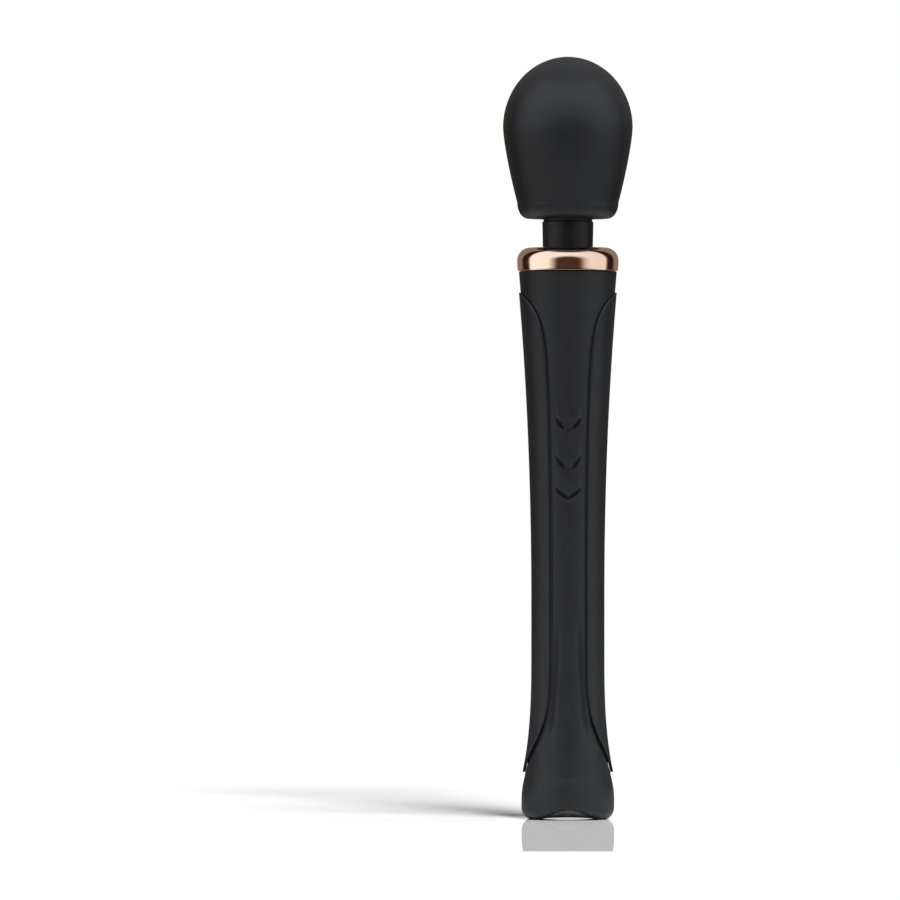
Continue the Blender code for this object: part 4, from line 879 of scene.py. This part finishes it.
def neck_sleeve(lower, upper):
    """The silicone sleeve: flanges inside the handle and the head, and a dark waist under the head."""
    flange, flange_top, upper_flange = 16.6 * MM, 245.5 * MM, 13.2 * MM
    foot, waist_depth = 0.6 * MM, 0.55 * MM
    slope = (NECK_TOP_RADIUS - NECK_BOTTOM_RADIUS) / (HEAD_BOTTOM - flange_top)
    radii = [(SLEEVE_BOTTOM, flange), (flange_top, flange)]
    fillet = arc((NECK_BOTTOM_RADIUS + foot, flange_top + foot), foot, foot, 270, 180, 5)
    radii += [(z, r) for r, z in fillet]
    run = spread(flange_top + foot, NECK_MIDDLE, 14)[1:]
    radii += [(z, NECK_BOTTOM_RADIUS + slope * (z - flange_top)) for z in run]
    bends = (NECK_BEND_START, NECK_MIDDLE)
    neck_part("neck_sleeve_lower", SLEEVE_BOTTOM, NECK_MIDDLE, radii, lower, *bends)
    heights = spread(NECK_MIDDLE, HEAD_BOTTOM - 1.5 * MM, 10)
    radii = [(z, NECK_BOTTOM_RADIUS + slope * (z - flange_top)) for z in heights]
    radii += [(HEAD_BOTTOM - d * MM, NECK_TOP_RADIUS - waist_depth) for d in (1.2, 0.2)]
    radii += [(HEAD_BOTTOM + 1.0 * MM, NECK_TOP_RADIUS), (SLEEVE_TOP - 2 * MM, NECK_TOP_RADIUS)]
    radii += [(SLEEVE_TOP - 2 * MM, upper_flange), (SLEEVE_TOP, upper_flange)]
    bends = (NECK_MIDDLE, NECK_BEND_END)
    neck_part("neck_sleeve_upper", NECK_MIDDLE, SLEEVE_TOP, radii, upper, *bends)


def neck_leads(lower, upper):
    """The motor's lead through the neck."""
    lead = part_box("neck_lead")
    radius = (lead[1][0] - lead[0][0]) / 2
    for name, low, high, bodies, start, end in (
        ("neck_lead_lower", LEAD_BOTTOM, NECK_MIDDLE, lower, NECK_BEND_START, NECK_MIDDLE),
        ("neck_lead_upper", NECK_MIDDLE, LEAD_TOP, upper, NECK_MIDDLE, NECK_BEND_END),
    ):
        points = [(0, 0, z) for z in spread(low, high, 16)]
        piece = wire_along(name, points, radius, "wire_black", 20)
        bend(piece, "neck_lead")


def neck_springs(lower, upper):
    """The neck's coil spring, cut at the middle of the neck into two halves."""
    turns, per_turn, wire_radius = 6, 28, 0.75 * MM
    coil = 7.25 * MM
    low, high = SPRING_BOTTOM + wire_radius, SPRING_TOP - wire_radius
    count = turns * per_turn
    points = [at(2 * pi * i / per_turn, coil, z) for i, z in enumerate(spread(low, high, count))]
    half = sum(1 for p in points if p.z < NECK_MIDDLE)
    for name, part, bodies, start, end in (
        ("neck_coil_lower", points[: half + 1], lower, NECK_BEND_START, NECK_MIDDLE),
        ("neck_coil_upper", points[half:], upper, NECK_MIDDLE, NECK_BEND_END),
    ):
        piece = wire_along(name, part, wire_radius, "steel")
        bend(piece, "neck_spring")


# ---------------------------------------------------------------- head
def head_radius(z):
    """The head's outer face below its widest height."""
    fall = (HEAD_WIDEST - z) / (HEAD_WIDEST - HEAD_CORNER_TOP)
    return HEAD_RADIUS - HEAD_TAPER * fall**HEAD_TAPER_POWER


def head_cover():
    """The soft outer ball, open round the neck."""
    lip, bottom_wall, inner_round = 0.5 * MM, 3.8 * MM, 2 * MM
    hole = NECK_TOP_RADIUS + 0.4 * MM
    corner = (HEAD_FLAT_RADIUS, HEAD_CORNER_TOP)
    reach = head_radius(HEAD_CORNER_TOP) - HEAD_FLAT_RADIUS
    outline = arc((hole + lip, HEAD_BOTTOM + lip), lip, lip, 180, 270, 5)
    outline += arc(corner, reach, HEAD_CORNER_TOP - HEAD_BOTTOM, -90, 0, 16)
    outline += [(head_radius(z), z) for z in spread(HEAD_CORNER_TOP, HEAD_WIDEST, 24)[1:-1]]
    outline += arc((0, HEAD_WIDEST), HEAD_RADIUS, WAND_HEIGHT - HEAD_WIDEST, 0, 90, 40)
    inside = [(head_radius(z) - HEAD_WALL, z) for z in spread(HEAD_BOTTOM + 6 * MM, HEAD_WIDEST, 8)]
    rise = WAND_HEIGHT - HEAD_WALL - HEAD_WIDEST
    inside += arc((0, HEAD_WIDEST), HEAD_RADIUS - HEAD_WALL, rise, 0, 90, 12)[1:]
    outline += inside[::-1]
    edge = head_radius(HEAD_CORNER_TOP) - HEAD_WALL - inner_round
    outline += [(r, HEAD_BOTTOM + bottom_wall) for r in (edge, hole)]
    ball = turned("head_ball", outline, "soft_black", 144)
    finish_piece(ball, ["head_cover"], "head")


# ---------------------------------------------------------------- carried-over nodes
def dress_nodes():
    """Gives each CAD node that is still shown the finished version of its material."""
    slots = {s["node"]: s["material_slot"] for s in frame["record"]["subparts"]}
    for name, obj in frame["nodes"].items():
        if obj.hide_render:
            continue
        for holder in obj.material_slots:
            holder.material = MATERIALS[slots[name]]


# ---------------------------------------------------------------- studio
FLOOR_RADIUS = 3.0
FLOOR_COLOUR = (0.073, 0.073, 0.073, 1.0)  # comes out just white under the floor's own lights
FLOOR_FADE = (0.3, 0.8)
POLISH_SHARE = 0.56
POLISH_ROUGHNESS = 0.04
POLISH_REACH = 0.273
POLISH_FRONT_EDGE = 0.01
POLISH_BACK_EDGE = 0.03
POLISH_SIDES = (0.026, 0.034)


def floor():
    """A white floor, polished only just in front of the wand, that fades into the white studio."""
    bm = bmesh.new()
    bmesh.ops.create_circle(bm, cap_ends=True, segments=128, radius=FLOOR_RADIUS)
    obj = add_mesh("studio_floor", bm, None)
    material, tree, shader = new_material("floor_acrylic")
    shader.inputs["Base Color"].default_value = FLOOR_COLOUR
    shader.inputs["Roughness"].default_value = 0.6
    shader.inputs["Specular IOR Level"].default_value = 0.0
    where = add_node(tree, "ShaderNodeTexCoord").outputs["Object"]
    parts = add_node(tree, "ShaderNodeSeparateXYZ", {"Vector": where})
    depth = parts.outputs["Y"]
    aside = add_node(tree, "ShaderNodeMath", {0: parts.outputs["X"]}, operation="ABSOLUTE")
    reach = (-POLISH_REACH - POLISH_FRONT_EDGE, -POLISH_REACH)
    polished = ranged(tree, depth, 0.0, POLISH_SHARE, *reach)
    for limit in (
        ranged(tree, depth, 1.0, 0.0, 0.0, POLISH_BACK_EDGE),
        ranged(tree, aside.outputs["Value"], 1.0, 0.0, *POLISH_SIDES),
    ):
        product = add_node(tree, "ShaderNodeMath", {0: polished, 1: limit}, operation="MULTIPLY")
        polished = product.outputs["Value"]
    gloss = add_node(tree, "ShaderNodeBsdfGlossy", {"Color": (1, 1, 1, 1), "Roughness": POLISH_ROUGHNESS})
    shine = add_node(tree, "ShaderNodeMixShader", {"Fac": polished})
    tree.links.new(shader.outputs["BSDF"], shine.inputs[1])
    tree.links.new(gloss.outputs["BSDF"], shine.inputs[2])
    clear = add_node(tree, "ShaderNodeBsdfTransparent")
    away = add_node(tree, "ShaderNodeVectorMath", {0: where}, operation="LENGTH").outputs["Value"]
    edge = add_node(tree, "ShaderNodeMixShader", {"Fac": ranged(tree, away, 0.0, 1.0, *FLOOR_FADE)})
    tree.links.new(shine.outputs["Shader"], edge.inputs[1])
    tree.links.new(clear.outputs["BSDF"], edge.inputs[2])
    output = tree.nodes["Material Output"]
    tree.links.new(edge.outputs["Shader"], output.inputs["Surface"])
    obj.data.materials.append(material)


def softbox(name, place, target, size, radiance):
    """A rectangular light of this width, height and brightness (1 is white), facing the target."""
    light = bpy.data.lights.new(name, "AREA")
    light.shape = "RECTANGLE"
    light.size, light.size_y = size
    light.energy = radiance * pi * size[0] * size[1]
    lamp = hang(name, light, Vector(target) - Vector(place))
    lamp.location = place
    lamp.visible_camera = False
    return lamp


def hang(name, light, aim):
    """Puts a light into the scene, shining along aim."""
    lamp = bpy.data.objects.new(name, light)
    bpy.context.scene.collection.objects.link(lamp)
    lamp.rotation_euler = aim.to_track_quat("-Z", "Y").to_euler()
    return lamp


def round_place(azimuth, distance, height):
    """A place in the studio: azimuth in degrees from the camera's side, turning to the right."""
    return at(radians(azimuth), distance, height)


WORLD_TINT = (1.0, 0.5, 0.3, 1)
WORLD_STRENGTH = 0.02
OVERHEAD_PLACE = (25, 0.6, 1.75)
OVERHEAD_TARGET = (0, 0, 0.1)
OVERHEAD_SIZE = (0.7, 0.7)
OVERHEAD_RADIANCE = 60
FLOOR_LIGHTS = (
    # name, azimuth, height and width in degrees, strength
    ("low_key", 22, 40.5, 19, 27.5),
    ("high_key", 38, 66, 20, 21.5),
    ("side_key", 105, 66, 26, 6.5),
)
# white screens all round that light only the floor, whose polish never mirrors a dark studio
SCREENS = 6
SCREEN_DISTANCE = 1.1
SCREEN_HEIGHT = 1.3
SCREEN_RADIANCE = 1.08


def world():
    """White to the camera and almost dark to everything else."""
    bpy.context.scene.world = bpy.data.worlds.new("studio")
    bpy.context.scene.world.use_nodes = True
    tree = bpy.context.scene.world.node_tree
    seen = tree.nodes["Background"]
    seen.inputs["Color"].default_value = (1, 1, 1, 1)
    seen.inputs["Strength"].default_value = 1.0
    glow = {"Color": WORLD_TINT, "Strength": WORLD_STRENGTH}
    around = add_node(tree, "ShaderNodeBackground", glow)
    path = add_node(tree, "ShaderNodeLightPath")
    mix = add_node(tree, "ShaderNodeMixShader", {"Fac": path.outputs["Is Camera Ray"]})
    tree.links.new(around.outputs["Background"], mix.inputs[1])
    tree.links.new(seen.outputs["Background"], mix.inputs[2])
    tree.links.new(mix.outputs["Shader"], tree.nodes["World Output"].inputs["Surface"])


def studio():
    """The tent and the overhead light for the wand, and suns and screens for the floor alone."""
    world()
    light_tent()
    place = round_place(*OVERHEAD_PLACE)
    overhead = softbox("overhead", place, OVERHEAD_TARGET, OVERHEAD_SIZE, OVERHEAD_RADIANCE)
    floor_only, not_floor = (bpy.data.collections.new(name) for name in ("floor_only", "not_floor"))
    for group in (floor_only, not_floor):
        group.objects.link(bpy.data.objects["studio_floor"])
    not_floor.collection_objects[0].light_linking.link_state = "EXCLUDE"
    overhead.visible_glossy = False
    overhead.light_linking.receiver_collection = not_floor
    for name, azimuth, height, width, strength in FLOOR_LIGHTS:
        light = bpy.data.lights.new(name, "SUN")
        light.angle = radians(width)
        light.energy = strength
        height = radians(height)
        lamp = hang(name, light, -at(radians(azimuth), cos(height), sin(height)))
        lamp.visible_glossy = False
        lamp.light_linking.receiver_collection = floor_only
    size = (2 * SCREEN_DISTANCE * tan(pi / SCREENS), SCREEN_HEIGHT)
    for k in range(SCREENS):
        place = round_place(360 * k / SCREENS, SCREEN_DISTANCE, SCREEN_HEIGHT / 2)
        screen = softbox(f"screen_{k + 1}", place, (0, 0, place.z), size, SCREEN_RADIANCE)
        screen.light_linking.receiver_collection = floor_only


# the tent: angles in degrees, glows as shares of its radiance
TENT_RADIUS = 1.3
TENT_RADIANCE = 1.15
TENT_HEIGHTS = (-11, 88)
TENT_HEM = -6.5
TENT_SIDES = (92.0, 103.0)
TENT_BACK = (121.0, 132.0)
TENT_BACK_SHARE = 0.24
TENT_OPENING = (56.0, 42.0)
TENT_OPENING_CORE = 0.34
TENT_CROWN = (56.0, 74.0)
TENT_LEFT_LIFT = 0.19
TENT_SEAM = 0.02
TENT_SHADE = 0.06
TENT_EDGE_COLOUR = (1.0, 0.45, 0.2)
TENT_EDGE_SHARE = 0.4


def tent_glow(azimuth, height):
    """How lit the tent is: dim behind, round the camera and towards the crown."""
    turn = abs(azimuth)
    opening = hypot(azimuth / TENT_OPENING[0], max(0.0, height) / TENT_OPENING[1])
    front = smooth_step(TENT_OPENING_CORE, 1.0, opening) * (1 - TENT_LEFT_LIFT * sin(radians(azimuth)))
    front *= 1 - smooth_step(*TENT_CROWN, height)
    side = 1 - smooth_step(*TENT_SIDES, turn)
    back = TENT_BACK_SHARE * smooth_step(*TENT_BACK, turn)
    return max(TENT_SEAM, max(TENT_SHADE, front) * side, back)


def light_tent():
    """A round white tent lit from outside, whose light fades softly to warm at its edges."""
    centre = Vector((0, 0, COLLAR_TOP))
    azimuths, heights = spread(-180, 180, 120), spread(*TENT_HEIGHTS, 50)
    bm = bmesh.new()
    glow = bm.verts.layers.float.new("glow")
    rows = []
    for height in heights:
        row = []
        for azimuth in azimuths:
            across = at(radians(azimuth), cos(radians(height)), sin(radians(height)))
            vert = bm.verts.new(centre + across * TENT_RADIUS)
            vert[glow] = tent_glow(azimuth, height)
            row.append(vert)
        rows.append(row)
    for height, row, above in zip(heights, rows, rows[1:]):
        for i in range(len(row) - 1):
            if height > TENT_HEM or abs(azimuths[i]) < TENT_SIDES[1]:
                bm.faces.new((row[i], above[i], above[i + 1], row[i + 1]))
    bmesh.ops.delete(bm, geom=[v for v in bm.verts if not v.link_faces], context="VERTS")
    obj = add_mesh("light_tent", bm, None)
    material = bpy.data.materials.new("tent_cloth")
    material.use_nodes = True
    tree = material.node_tree
    tree.nodes.clear()
    share = add_node(tree, "ShaderNodeAttribute", attribute_name="glow").outputs["Fac"]
    whiteness = ranged(tree, share, 0.0, 1.0, 0.0, TENT_EDGE_SHARE)
    tint = mixed(tree, whiteness, TENT_EDGE_COLOUR, (1.0, 1.0, 1.0))
    strength = ranged(tree, share, 0.0, TENT_RADIANCE)
    light = add_node(tree, "ShaderNodeEmission", {"Color": tint, "Strength": strength})
    output = add_node(tree, "ShaderNodeOutputMaterial")
    tree.links.new(light.outputs["Emission"], output.inputs["Surface"])
    obj.data.materials.append(material)
    obj.visible_camera = False
    obj.visible_shadow = False


def camera():
    """A level camera with a long lens, in front of the wand."""
    data = bpy.data.cameras.new("camera")
    data.lens = LENS
    data.sensor_width = SENSOR
    obj = bpy.data.objects.new("camera", data)
    bpy.context.scene.collection.objects.link(obj)
    distance = VIEW_WIDTH * LENS / SENSOR
    obj.location = VIEW_CENTRE + Vector((0, -distance, 0))
    obj.rotation_euler = (pi / 2, 0, 0)
    data.clip_end = 20
    bpy.context.scene.camera = obj


# ---------------------------------------------------------------- everything
bpy.context.scene.view_settings.view_transform = "Standard"
camera()
MATERIALS = make_materials()
floor()
studio()
handle_skin()
grip("left_grip", -1)
grip("right_grip", 1)
for index, label in enumerate(BUTTON_NAMES):
    button(label, index)
end_cap()
collar()
neck()
head_cover()
dress_nodes()
